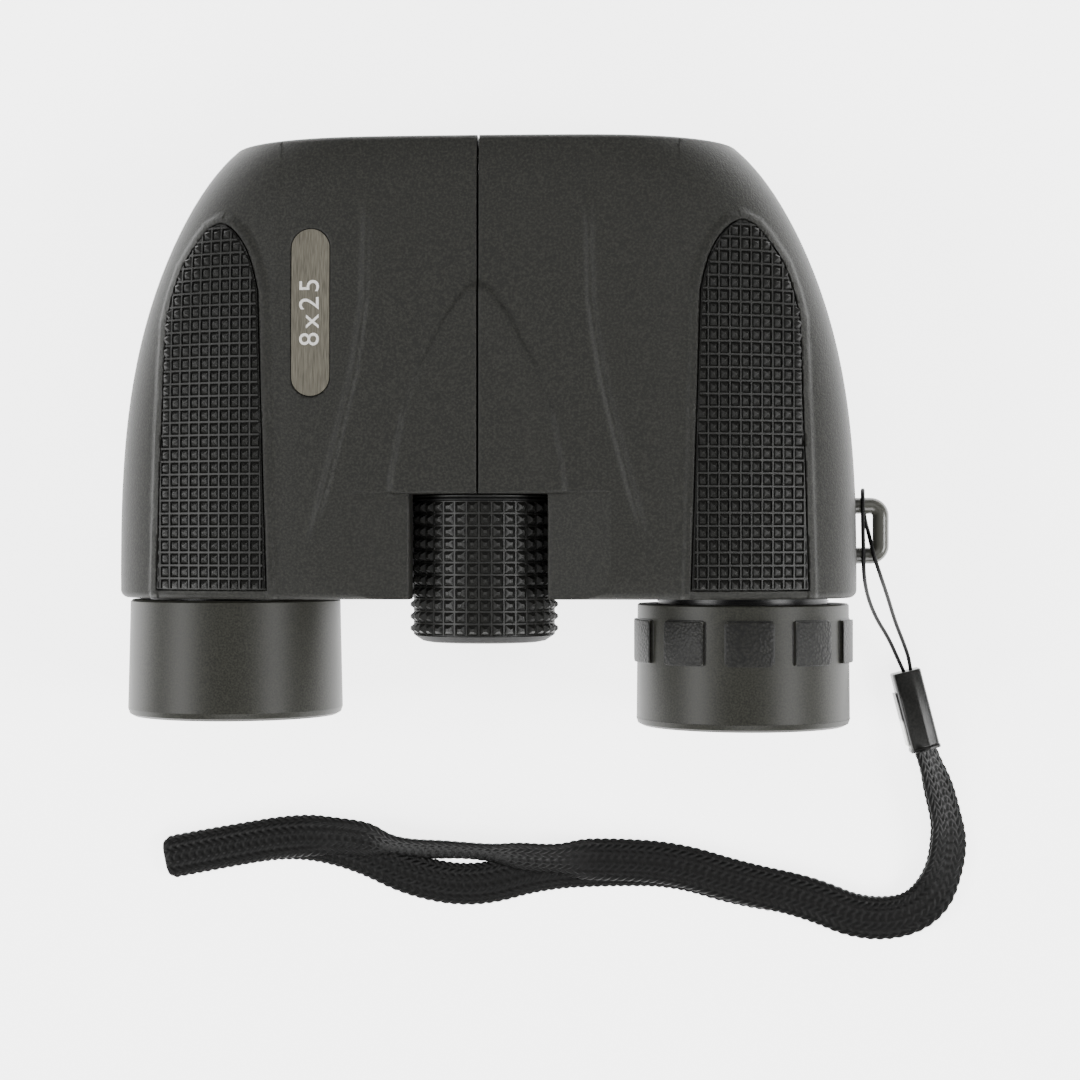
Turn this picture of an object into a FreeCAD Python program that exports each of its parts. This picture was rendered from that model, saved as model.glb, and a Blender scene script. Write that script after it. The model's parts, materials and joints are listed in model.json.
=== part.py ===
"""Compact reverse-porro binoculars, 8x25, as separate sub-parts.

X points to the user's right when the objectives point away along +Y, and Z is up. The part lies flat and fully
spread, with its origin at the bottom centre of the binoculars without the strap. The halves turn about a hinge
axis along Y at x = 0.
"""
import FreeCAD
import Part
import math
import os

V = FreeCAD.Vector

# ---- driving dimensions, mm -------------------------------------------------------------------------------
HALF_WIDTH = 54.0          # seam to the widest point of one half
FRONT_Y = 41.8             # front face
REAR_Y = -23.1             # rear face of the housing
EQUATOR_Z = 20.5           # height of the optical axes
CROWN = 20.0               # top of the housing above the axes
FOOT_CUT = 0.15            # depth of the curved underside that is cut flat to stand on
WALL = 1.5                 # housing wall
END_ROUND = 1.2            # radius of the rims of the front and rear faces
END_WALL = 2.0             # housing wall at the front and rear faces
SEAM_GAP = 0.15            # each half stands this far from the seam plane
SEAM_WALL = 1.2            # housing wall along the seam
HINGE_Z = 27.5             # height of the hinge axis
LEAN = 24.5                # degrees each half can fold down

OBJECTIVE_X = 20.0         # objective axis
OBJECTIVE_BORE = 25.0      # clear aperture
LENS_RIM = 0.3             # how far a lens reaches past its clear aperture
CELL_WALL = 0.6
GUIDE_WALL = 0.5
SLIDE_FIT = 0.05           # radial clearance of sliding and turning fits
SEAT_FIT = 0.02            # radial clearance of pieces that are fixed together

EYEPIECE_X = 37.55         # eyepiece axis
BARREL_R = 12.55           # eyepiece barrel, outside
BARREL_WALL = 1.3
EYECUP_R = 15.45
EYECUP_LEFT_END = -40.5
EYECUP_RIGHT_END = -41.8
RING_FRONT = -24.0         # front edge of the dioptre ring
RING_REAR = -40.7          # where the dioptre ring meets its eyecup
PAD_HEIGHT = 0.55          # raised pads round the dioptre ring
PAD_LENGTH = 6.1
PAD_COUNT = 10
OCULAR_TRAVEL = 0.8

PRISM_WIDTH = 13.0
PRISM_PLATE = 2.0          # thickness of the plate between the prisms
PRISM_PLATE_Y = 2.5        # rear face of that plate

WHEEL_R = 10.67
WHEEL_FRONT = -8.7
WHEEL_REAR = -29.4
SLEEVE_FROM_REAR = 1.0     # smooth rims of the wheel behind and ahead of its rubber sleeve
SLEEVE_FROM_FRONT = 0.5
WHEEL_SLEEVE_WALL = 1.5
WHEEL_CLEARANCE = 0.9
SLOT_HALF = 9.7          # half the width of the slot for the wheel, at the top
SLOT_FRONT = -8.3
DIP_OUT = 21.5             # the surface beside the slot falls away from here
FOCUS_TRAVEL = 1.5

KNUCKLE_R = 5.5
KNUCKLE_LENGTH = 4.0
KNUCKLE_GAP = 0.6
REAR_KNUCKLE_Y = -8.0      # rear face of the rear knuckle pair
FRONT_KNUCKLE_Y = 28.0     # rear face of the front knuckle pair
CHANNEL_R = 7.0            # room for the hinge inside the housing
WEB_Z = (HINGE_Z - 4.4, HINGE_Z + 0.2)  # height of the knuckles' webs
BUSH_R = 3.5
PIN_R = 3.0
SPINDLE_R = 2.0
SPINDLE_END = 27.0
COLLAR_R = 6.3
GROOVE_R = 4.0
GROOVE_Y = 20.4
ARM_THICK = 2.4
ARM_WIDTH = 5.0

GRIP_RISE = 0.15
GRIP_SINK = 0.6
GRIP_REAR = -21.7
GRIP_IN = (29.7, 31.0)     # inner side of the grip, at the rear and at its shoulder
GRIP_OUT = (46.0, 44.8)
GRIP_SHOULDERS = (20.0, 16.5)  # where the inner and outer sides turn into the arch
GRIP_ARCH = ((32.2, 24.6), (34.0, 27.9), (37.0, 29.9), (39.9, 27.9), (42.6, 24.0))

PLATE_X = 23.4
PLATE_WIDTH = 5.4
PLATE_Y = (5.3, 28.6)
PLATE_DEPTH = 0.5
PLATE_THICK = 0.35

SCREW_PLACES = ((47.2, 4.0), (38.6, 30.6), (18.9, -16.2))
BOSS_R = 2.2
BOSS_SPLIT = 12.0
SCREW_R = 0.95
SCREW_HEAD_R = 1.7
SCREW_TOP = 17.0
SCREW_SINK = 2.4           # depth of a screw head's shoulder under the surface

LUG_ROD = 2.4
LUG_OUT = 58.9
LUG_Y = (-8.5, -18.2)
LUG_ROOT = 51.2

STRING_D = 0.6
STRAP_WIDTH = 6.3
STRAP_THICK = 1.1
STRAP_GAP = 0.2
CLIP_WIDTH = 4.4
CLIP_LENGTH = 12.5
CLIP_HEIGHT = 4.6

# routes of the strap, chosen by hand, mm
STRING_ROUTE = ((63.3, -35.2, 2.8), (62.2, -33.0, 3.8), (60.4, -29.6, 6.8), (58.0, -26.4, 11.2), (56.2, -23.0, 16.2),
                (55.2, -19.8, 20.8), (55.0, -16.8, 22.6), (54.9, -12.8, 22.6), (54.9, -8.6, 22.4),
                (55.1, -7.0, 20.5), (55.3, -8.6, 18.4), (55.6, -11.6, 18.2), (56.0, -14.0, 20.8),
                (56.4, -16.8, 22.8), (57.6, -19.8, 20.8), (59.3, -23.2, 15.6), (61.0, -27.0, 10.2),
                (62.9, -30.6, 5.8), (64.0, -33.2, 3.6), (64.3, -35.2, 2.8))
STRAP_LOWER = ((66.4, -46.8), (69.6, -55.4), (70.4, -64.0), (66.6, -72.2), (57.6, -74.0), (48.0, -70.0),
               (38.0, -68.6), (28.0, -65.6), (17.6, -65.6), (7.0, -66.2), (-3.3, -69.2), (-13.0, -67.8),
               (-22.0, -63.4), (-31.6, -61.4), (-42.0, -62.8), (-52.6, -64.9))
STRAP_UPPER = ((66.4, -46.8), (69.6, -55.4), (70.4, -64.0), (66.6, -72.2), (57.6, -74.0), (48.0, -70.0),
               (38.0, -68.0), (28.0, -65.0), (17.6, -64.4), (7.0, -64.6), (-3.6, -63.0), (-14.0, -62.9),
               (-23.0, -61.2), (-32.0, -61.0), (-42.0, -62.8), (-52.6, -64.9))

# ---- worked out --------------------------------------------------------------------------------------------
TAN_LEAN = math.tan(math.radians(LEAN))
LENS_R = OBJECTIVE_BORE / 2 + LENS_RIM
CELL_R = LENS_R + CELL_WALL
GUIDE_BORE_R = CELL_R + SLIDE_FIT
GUIDE_R = GUIDE_BORE_R + GUIDE_WALL
PRISM_SHIFT = (EYEPIECE_X - OBJECTIVE_X) / math.sqrt(2)
PRISM_PLATE_FRONT = PRISM_PLATE_Y + PRISM_PLATE
SIDES = (("right", 1), ("left", -1))
parts = {}


def keep(name, shape):
    """Store a sub-part under the name of its node."""
    parts[name] = shape


def box(x0, x1, y0, y1, z0, z1):
    return Part.makeBox(x1 - x0, y1 - y0, z1 - z0, V(x0, y0, z0))


def rod(x, z, radius, y0, y1):
    """A cylinder along Y."""
    return Part.makeCylinder(radius, y1 - y0, V(x, y0, z), V(0, 1, 0))


def tube(x, z, outer, inner, y0, y1):
    return rod(x, z, outer, y0, y1).cut(rod(x, z, inner, y0 - 1, y1 + 1))


def turned(x, z, outline):
    """Revolve (radius, y) points about an axis along Y through (x, z)."""
    wire = Part.makePolygon([V(x + r, y, z) for r, y in outline + outline[:1]])
    return Part.Face(wire).revolve(V(x, 0, z), V(0, 1, 0), 360)


def prism_y(points, y0, y1):
    """A flat outline of (x, z) points, drawn out from y0 to y1."""
    return Part.Face(Part.makePolygon([V(x, y0, z) for x, z in points + points[:1]])).extrude(V(0, y1 - y0, 0))


def mirrored(shape, side):
    """The shape itself for the right half, its mirror image for the left."""
    return shape if side > 0 else shape.mirror(V(0, 0, 0), V(1, 0, 0))


def only_solids(shape):
    """The shape's solids, as one shape."""
    solids = shape.Solids
    return solids[0] if len(solids) == 1 else Part.Compound(solids)


# ---- the housing's outer form ------------------------------------------------------------------------------
# places of the sections from rear to front, as a share of the length
STATIONS = (0.0, 0.02, 0.05, 0.1, 0.2, 0.32, 0.44, 0.55, 0.65, 0.74, 0.82, 0.88, 0.93, 0.97, 1.0)
TOP_POLES = ((0.0, 1.0), (0.3, 1.0), (0.52, 0.985), (0.7, 0.9), (0.86, 0.74), (0.985, 0.47), (1.0, 0.2), (1.0, 0.0))
LOW_POLES = ((0.5, 1.0), (0.6, 1.0), (0.73, 0.93), (0.88, 0.76), (0.985, 0.47), (1.0, 0.2), (1.0, 0.0))
BEHIND_SEAM = 8.0          # the closed form runs past the seam plane, and is cut back to it


def form(offset, front, rear):
    """One half's closed form, grown outward by offset, between two planes across Y."""
    length = FRONT_Y - REAR_Y
    sections = []
    for place in STATIONS:
        y = REAR_Y + place * length
        width_share = 1 - 0.296 * place ** 3 - 0.028 * place ** 20
        height_share = 1 - 0.03 * place ** 8 - 0.04 * place ** 24 - 0.02 * (1 - place) ** 40
        half = HALF_WIDTH * width_share + offset
        top = CROWN * height_share + offset
        low = (EQUATOR_Z + FOOT_CUT) * height_share + offset
        top_points = [V(x * half, y, EQUATOR_Z + z * top) for x, z in TOP_POLES]
        low_points = [V(x * half, y, EQUATOR_Z - z * low) for x, z in LOW_POLES]
        upper = Part.BSplineCurve()
        upper.buildFromPoles(top_points, False, 3)
        lower = Part.BSplineCurve()
        lower.buildFromPoles(low_points, False, 3)
        inner_top = V(-BEHIND_SEAM, y, top_points[0].z)
        inner_low = V(-BEHIND_SEAM, y, low_points[0].z)
        edges = [Part.LineSegment(inner_low, low_points[0]).toShape(), lower.toShape(), upper.toShape(),
                 Part.LineSegment(top_points[0], inner_top).toShape(),
                 Part.LineSegment(inner_top, inner_low).toShape()]
        sections.append(Part.Wire(Part.__sortEdges__(edges)))
    solid = Part.makeLoft(sections, True, False)
    return solid.common(box(-BEHIND_SEAM, 80, rear, front, -20, 80))


def half_space(inset):
    """The room of the right half: right of the seam above the hinge, and of the leaning plane below it."""
    side = SEAM_GAP + inset
    foot = side + inset * 0.1 + (HINGE_Z + 20) * TAN_LEAN
    knee = HINGE_Z
    return prism_y([(side, 90), (side, knee), (foot, -20), (90, -20), (90, 90)], REAR_Y - 30, FRONT_Y + 30)


def rounded(solid):
    """Round the outer rim of the front and rear faces."""
    rims = []
    for edge in solid.Edges:
        room = edge.BoundBox
        flat = room.YMax - room.YMin < 0.001
        at_end = min(abs(room.YMin - FRONT_Y), abs(room.YMin - REAR_Y)) < 0.001
        if flat and at_end and room.XMax > OBJECTIVE_X:
            rims.append(edge)
    return solid.makeFillet(END_ROUND, rims)


OUTER = rounded(form(0, FRONT_Y, REAR_Y).common(half_space(0)).common(box(-1, 90, -90, 90, 0, 90)))
INNER = form(-WALL, FRONT_Y - END_WALL, REAR_Y + END_WALL).common(half_space(SEAM_WALL))
ABOVE = box(-90, 90, -90, 90, EQUATOR_Z, 90)
BELOW = box(-90, 90, -90, 90, -30, EQUATOR_Z)


def slot(margin):
    """The space for the focus wheel, grown by a margin."""
    bore = rod(0, HINGE_Z, WHEEL_R + WHEEL_CLEARANCE + margin, REAR_Y - 20, SLOT_FRONT + margin)
    mouth = box(-SLOT_HALF - margin, SLOT_HALF + margin, REAR_Y - 20, SLOT_FRONT + margin, HINGE_Z, 90)
    return bore.fuse(mouth)


def grip_outline(margin):
    """A grip's plan outline, raised: straight sides from the rear, then a leaning arch."""
    low = -20
    inner_rear = V(GRIP_IN[0] - margin, GRIP_REAR - margin, low)
    outer_rear = V(GRIP_OUT[0] + margin, GRIP_REAR - margin, low)
    inner_shoulder = V(GRIP_IN[1] - margin, GRIP_SHOULDERS[0], low)
    outer_shoulder = V(GRIP_OUT[1] + margin, GRIP_SHOULDERS[1], low)
    middle = V((GRIP_IN[1] + GRIP_OUT[1]) / 2, GRIP_SHOULDERS[0], low)
    stations = [inner_shoulder]
    for x, y in GRIP_ARCH:
        place = V(x, y, low)
        stations.append(place + (place - middle).normalize() * margin)
    arch = Part.BSplineCurve()
    arch.interpolate(stations + [outer_shoulder])
    edges = [Part.LineSegment(inner_rear, outer_rear).toShape(),
             Part.LineSegment(outer_rear, outer_shoulder).toShape(),
             arch.toShape(),
             Part.LineSegment(inner_shoulder, inner_rear).toShape()]
    return Part.Face(Part.Wire(Part.__sortEdges__(edges))).extrude(V(0, 0, 100))


def stadium(margin, depth_top, depth_bottom):
    """The name plate's outline through a layer under the top surface."""
    radius = PLATE_WIDTH / 2 + margin
    y0 = PLATE_Y[0] - margin
    y1 = PLATE_Y[1] + margin
    column = box(PLATE_X - radius, PLATE_X + radius, y0 + radius, y1 - radius, EQUATOR_Z, 60)
    for y in (y0 + radius, y1 - radius):
        column = column.fuse(Part.makeCylinder(radius, 60 - EQUATOR_Z, V(PLATE_X, y, EQUATOR_Z)))
    layer = form(-depth_top, FRONT_Y, REAR_Y).cut(form(-depth_bottom, FRONT_Y + 1, REAR_Y - 1))
    return column.removeSplitter().common(layer)


def lug_rod():
    """The strap lug: a bent rod whose two legs run into the housing."""
    middle = LUG_OUT - LUG_ROD / 2
    front = LUG_Y[0] - LUG_ROD / 2
    rear = LUG_Y[1] + LUG_ROD / 2
    radius = 1.5
    z = EQUATOR_Z
    k = radius * (1 - math.sqrt(0.5))
    edges = [Part.LineSegment(V(LUG_ROOT, front, z), V(middle - radius, front, z)).toShape(),
             Part.Arc(V(middle - radius, front, z), V(middle - k, front - k, z),
                      V(middle, front - radius, z)).toShape(),
             Part.LineSegment(V(middle, front - radius, z), V(middle, rear + radius, z)).toShape(),
             Part.Arc(V(middle, rear + radius, z), V(middle - k, rear + k, z),
                      V(middle - radius, rear, z)).toShape(),
             Part.LineSegment(V(middle - radius, rear, z), V(LUG_ROOT, rear, z)).toShape()]
    section = Part.Wire(Part.makeCircle(LUG_ROD / 2, V(LUG_ROOT, front, z), V(1, 0, 0)))
    bent = Part.Wire(edges).makePipeShell([section], True, True)
    foot = box(LUG_ROOT - 0.9, LUG_ROOT + 0.1, rear - LUG_ROD / 2, front + LUG_ROD / 2, z - 2, z + 2)
    return bent.fuse(foot)


# ---- housing, grips, plate, screws -------------------------------------------------------------------------
def make_housing():
    dip = prism_y([(8, 38.4), (DIP_OUT, 40.9), (DIP_OUT, 50), (8, 50)], REAR_Y - 5, SLOT_FRONT)
    under_dip = prism_y([(8, 38.4 - WALL), (DIP_OUT, 40.9 - WALL), (DIP_OUT, 50), (8, 50)], REAR_Y - 5,
                        SLOT_FRONT + SEAM_WALL)
    cavity = INNER.cut(slot(SEAM_WALL)).cut(under_dip)
    barrel = rod(OBJECTIVE_X, EQUATOR_Z, GUIDE_R + SEAT_FIT, GROOVE_Y + ARM_THICK, FRONT_Y - END_WALL)
    mouth = rod(OBJECTIVE_X, EQUATOR_Z, CELL_R + 2 * SLIDE_FIT, FRONT_Y - END_WALL - 1, FRONT_Y + 1)
    web_gap = box(CHANNEL_R - 1, 13, REAR_KNUCKLE_Y - 0.1, PRISM_PLATE_Y, WEB_Z[0] - 0.1, WEB_Z[1] + 0.1)
    eye_hole = rod(EYEPIECE_X, EQUATOR_Z, BARREL_R + SEAT_FIT, REAR_Y - 1, REAR_Y + END_WALL + 1)
    channel = rod(0, HINGE_Z, CHANNEL_R, SLOT_FRONT - 1, FRONT_Y - END_WALL)
    skin = form(GRIP_RISE, FRONT_Y, REAR_Y)
    bed = form(-GRIP_SINK, FRONT_Y + 1, REAR_Y - 1)
    lug = lug_rod()
    columns = {}
    for x, y in SCREW_PLACES:
        column = Part.makeCylinder(BOSS_R, 60, V(x, y, -5)).common(OUTER)
        columns[(x, y)] = column
    for name, side in SIDES:
        shell = OUTER.cut(cavity)
        for column in columns.values():
            shell = shell.fuse(column)
        shell = shell.cut(slot(0)).cut(dip).cut(channel).cut(barrel).cut(mouth).cut(eye_hole)
        grip_bed = grip_outline(0.25).cut(bed)
        shell = shell.cut(grip_bed)
        if side > 0:
            shell = shell.cut(lug).cut(web_gap)
        else:
            shell = shell.cut(stadium(0.15, -2.0, PLATE_DEPTH))
        top = shell.common(ABOVE)
        bottom = shell.common(BELOW)
        for x, y in SCREW_PLACES:
            joint_gap = Part.makeCylinder(BOSS_R + 0.1, EQUATOR_Z - BOSS_SPLIT, V(x, y, BOSS_SPLIT))
            stem = joint_gap.common(Part.makeCylinder(BOSS_R, 60, V(x, y, -5)))
            bottom = bottom.cut(joint_gap)
            pilot = Part.makeCylinder(SCREW_R, SCREW_TOP - BOSS_SPLIT + 0.5, V(x, y, BOSS_SPLIT))
            top = top.fuse(stem).cut(pilot)
            hole = Part.makeCylinder(SCREW_R + 0.1, 40, V(x, y, -5))
            sink = Part.makeCylinder(SCREW_HEAD_R + 0.1, 40, V(x, y, head_seat(x, y) - 40))
            bottom = bottom.cut(hole).cut(sink)
        keep(name + "_top_cover", only_solids(mirrored(top.removeSplitter(), side)))
        keep(name + "_bottom_cover", only_solids(mirrored(bottom.removeSplitter(), side)))
        grip = skin.common(grip_outline(0)).cut(bed)
        keep(name + "_grip_top", mirrored(grip.common(ABOVE), side))
        keep(name + "_grip_bottom", mirrored(grip.common(BELOW), side))
        screws = []
        for x, y in SCREW_PLACES:
            seat = head_seat(x, y)
            shank = Part.makeCylinder(SCREW_R, SCREW_TOP - seat + 1.2, V(x, y, seat - 1.2))
            head = Part.makeCylinder(SCREW_HEAD_R, 1.2, V(x, y, seat - 1.2))
            cross = box(x - 1.1, x + 1.1, y - 0.2, y + 0.2, seat - 1.3, seat - 0.6)
            cross = cross.fuse(box(x - 0.2, x + 0.2, y - 1.1, y + 1.1, seat - 1.3, seat - 0.6))
            screws.append(mirrored(shank.fuse(head).removeSplitter().cut(cross), side))
        keep(name + "_cover_screws", Part.Compound(screws))
    keep("left_name_plate", mirrored(stadium(0, PLATE_DEPTH - PLATE_THICK, PLATE_DEPTH), -1))
    keep("right_strap_lug", lug)


def head_seat(x, y):
    """Height of the shoulder that a screw's head bears on, sunk into the bottom cover."""
    return Part.makeLine(V(x, y, -5), V(x, y, EQUATOR_Z)).common(OUTER).BoundBox.ZMin + SCREW_SINK


# ---- optics and chassis ------------------------------------------------------------------------------------
def prism(x, z, tilt, y_face, y_step):
    """A right-angle prism with rounded ends: its long face is across Y, its edge is y_step away."""
    reach = PRISM_SHIFT
    along = V(math.cos(math.radians(tilt)), 0, math.sin(math.radians(tilt)))
    centre = V(x, y_face, z)
    wedge = Part.Face(Part.makePolygon([centre - along * reach, centre + along * reach,
                                        centre + V(0, y_step * reach, 0), centre - along * reach]))
    across = V(-along.z, 0, along.x) * PRISM_WIDTH
    wedge.translate(across * -0.5)
    wedge = wedge.extrude(across)
    radius = PRISM_WIDTH / 2
    ends = reach - radius
    y0 = min(y_face, y_face + y_step * reach)
    block = box(-ends, ends, y0, y0 + reach, -radius, radius)
    block = block.fuse(rod(-ends, 0, radius, y0, y0 + reach)).fuse(rod(ends, 0, radius, y0, y0 + reach))
    block.rotate(V(0, 0, 0), V(0, 1, 0), -tilt)
    block.translate(V(x, 0, z))
    return wedge.common(block)


def clip_strap(x, z, tilt, y_face, y_step):
    """A spring strap over the prism's edge, with its feet on the prism plate."""
    reach = PRISM_SHIFT
    gap = 0.1
    width = 3.0
    thick = 0.5
    edge_y = y_face + y_step * (reach + gap)
    top = y_step * thick
    span = PRISM_WIDTH / 2 + gap
    ys = sorted((edge_y, edge_y + top))
    bridge = box(-width / 2, width / 2, ys[0], ys[1], -span - thick, span + thick)
    leg_y = sorted((y_face, edge_y + top))
    for z0 in (-span - thick, span):
        bridge = bridge.fuse(box(-width / 2, width / 2, leg_y[0], leg_y[1], z0, z0 + thick))
    bridge.rotate(V(0, 0, 0), V(0, 1, 0), -tilt)
    bridge.translate(V(x, 0, z))
    return bridge.removeSplitter()


PRISM_HALF = PRISM_SHIFT / 2 / math.sqrt(2)
REAR_PRISM = (OBJECTIVE_X + PRISM_HALF, EQUATOR_Z + PRISM_HALF, 45)
FRONT_PRISM = (EYEPIECE_X - PRISM_HALF, EQUATOR_Z + PRISM_HALF, -45)


def knuckle(y0, bore, toward_guide):
    """One hinge knuckle with its web toward the optical axis."""
    ring = rod(0, HINGE_Z, KNUCKLE_R, y0, y0 + KNUCKLE_LENGTH)
    reach = OBJECTIVE_X - GUIDE_BORE_R - 0.3 if toward_guide else OBJECTIVE_X - 5.5
    web = box(0, reach + 2.5, y0, y0 + KNUCKLE_LENGTH, WEB_Z[0], WEB_Z[1])
    return ring.fuse(web).cut(rod(0, HINGE_Z, bore, y0 - 1, y0 + KNUCKLE_LENGTH + 1))


def make_chassis():
    guide_front = FRONT_Y - END_WALL - 0.05
    guide_rear = GROOVE_Y + ARM_THICK + FOCUS_TRAVEL + 0.7
    room = form(-WALL - 0.4, FRONT_Y - END_WALL - 0.05, REAR_Y + END_WALL).common(half_space(SEAM_WALL + 0.3))
    plate = room.common(box(4, 80, PRISM_PLATE_Y, PRISM_PLATE_FRONT, -5, 60))
    plate = plate.common(box(4, 46.5, -50, 50, 4, 37.5))
    shelf_z = EQUATOR_Z - GUIDE_R + 0.9
    guide = rod(OBJECTIVE_X, EQUATOR_Z, GUIDE_R, guide_rear, guide_front)
    rails = box(OBJECTIVE_X - 4, OBJECTIVE_X + 4, PRISM_PLATE_Y, guide_rear + 4, shelf_z - 1.6, shelf_z)
    rails = rails.fuse(box(OBJECTIVE_X - 7, OBJECTIVE_X, PRISM_PLATE_Y, guide_rear + 4,
                           EQUATOR_Z + GUIDE_R - 1.2, EQUATOR_Z + GUIDE_R + 0.6))
    body = plate.fuse(guide).fuse(rails)
    for x, z, tilt in (REAR_PRISM, FRONT_PRISM):
        window = box(-PRISM_SHIFT + 1.6, PRISM_SHIFT - 1.6, PRISM_PLATE_Y - 1, PRISM_PLATE_FRONT + 1, -5.2, 5.2)
        window.rotate(V(0, 0, 0), V(0, 1, 0), -tilt)
        window.translate(V(x, 0, z))
        body = body.cut(window)
    for name, side in SIDES:
        step = 0 if side > 0 else KNUCKLE_LENGTH + KNUCKLE_GAP
        front_step = KNUCKLE_LENGTH + KNUCKLE_GAP if side > 0 else 0
        rear_bore = BUSH_R if side > 0 else BUSH_R + SLIDE_FIT
        front_bore = PIN_R if side > 0 else PIN_R + SLIDE_FIT
        rear_y = REAR_KNUCKLE_Y + step
        bridge = box(9.5, 12.5, rear_y, PRISM_PLATE_Y + 1, WEB_Z[0], WEB_Z[1])
        frame = body.fuse(knuckle(rear_y, rear_bore, False).common(box(-9, 12.5, -50, 50, -50, 90)))
        frame = frame.fuse(bridge)
        frame = frame.fuse(knuckle(FRONT_KNUCKLE_Y + front_step, front_bore, True))
        frame = frame.cut(rod(OBJECTIVE_X, EQUATOR_Z, GUIDE_BORE_R, guide_rear - 12, guide_front + 1))
        for x, z, tilt in (REAR_PRISM, FRONT_PRISM):
            y_face, y_step = (PRISM_PLATE_Y, -1) if tilt > 0 else (PRISM_PLATE_FRONT, 1)
            label = name + ("_rear_prism" if tilt > 0 else "_front_prism")
            glass = prism(x, z, tilt, y_face, y_step)
            frame = frame.cut(glass)
            keep(label, mirrored(glass, side))
        clips = [mirrored(clip_strap(REAR_PRISM[0], REAR_PRISM[1], 45, PRISM_PLATE_Y, -1), side),
                 mirrored(clip_strap(FRONT_PRISM[0], FRONT_PRISM[1], -45, PRISM_PLATE_FRONT, 1), side)]
        keep(name + "_prism_clips", Part.Compound(clips))
        for clip in clips:
            frame = frame.cut(mirrored(clip, side))
        for x, y in SCREW_PLACES:
            frame = frame.cut(Part.makeCylinder(BOSS_R + 0.15, 60, V(x, y, -5)))
        keep(name + "_chassis", only_solids(mirrored(frame.removeSplitter(), side)))


def make_objective():
    """Objective cell with a bar to the focus carriage, a cemented doublet and its ring."""
    rear = GROOVE_Y + 0.1
    lens_seat = 33.0
    front = 38.0
    cell = tube(OBJECTIVE_X, EQUATOR_Z, CELL_R, LENS_R + SEAT_FIT, rear, front)
    cell = cell.fuse(tube(OBJECTIVE_X, EQUATOR_Z, CELL_R - 0.1, OBJECTIVE_BORE / 2 - 0.3, lens_seat - 1, lens_seat))
    angle = math.degrees(math.atan2(HINGE_Z - EQUATOR_Z, OBJECTIVE_X))
    distance = math.hypot(OBJECTIVE_X, HINGE_Z - EQUATOR_Z)
    arm = box(-distance, -CELL_R + 0.4, rear, rear + ARM_THICK - 0.2, -ARM_WIDTH / 2, ARM_WIDTH / 2)
    arm.rotate(V(0, 0, 0), V(0, 1, 0), angle)
    arm.translate(V(OBJECTIVE_X, 0, EQUATOR_Z))
    arm = arm.cut(rod(0, HINGE_Z, GROOVE_R + SLIDE_FIT, rear - 1, rear + 9))
    arm = arm.cut(rod(OBJECTIVE_X, EQUATOR_Z, LENS_R + 0.1, rear - 1, rear + 9))
    arm = arm.common(box(0.5, 60, -50, 50, -50, 90))
    cell = cell.fuse(arm)
    bulge = 2.0
    crown_front = ball_cap(OBJECTIVE_X, LENS_R, lens_seat + 2.4, bulge, 1)
    crown = rod(OBJECTIVE_X, EQUATOR_Z, LENS_R, lens_seat + 1.4, lens_seat + 2.4).fuse(crown_front)
    crown = crown.removeSplitter()
    flint = rod(OBJECTIVE_X, EQUATOR_Z, LENS_R, lens_seat, lens_seat + 1.4)
    ring = tube(OBJECTIVE_X, EQUATOR_Z, LENS_R, OBJECTIVE_BORE / 2 - 0.15, lens_seat + 2.42, front - 0.4)
    ring = ring.cut(ball_cap(OBJECTIVE_X, LENS_R + 0.01, lens_seat + 2.4, bulge + 0.02, 1))
    for name, side in SIDES:
        keep(name + "_objective_cell", mirrored(cell.removeSplitter(), side))
        keep(name + "_crown_lens", mirrored(crown, side))
        keep(name + "_flint_lens", mirrored(flint, side))
        keep(name + "_objective_ring", mirrored(only_solids(ring), side))


def ball_cap(x, radius, y, height, direction):
    """A spherical cap of the given height on a circle across Y."""
    sphere_r = (radius ** 2 + height ** 2) / (2 * height)
    centre = y + direction * (height - sphere_r)
    ball = Part.makeSphere(sphere_r, V(x, centre, EQUATOR_Z))
    y0, y1 = (y, y + height + 1) if direction > 0 else (y - height - 1, y)
    return ball.common(rod(x, EQUATOR_Z, radius + 1, y0, y1))


def lens(x, radius, y, thick, bulge):
    """A biconvex lens with a cylindrical edge from y - thick to y."""
    body = rod(x, EQUATOR_Z, radius, y - thick, y)
    body = body.fuse(ball_cap(x, radius, y, bulge, 1)).fuse(ball_cap(x, radius, y - thick, bulge, -1))
    return body.removeSplitter()


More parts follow.
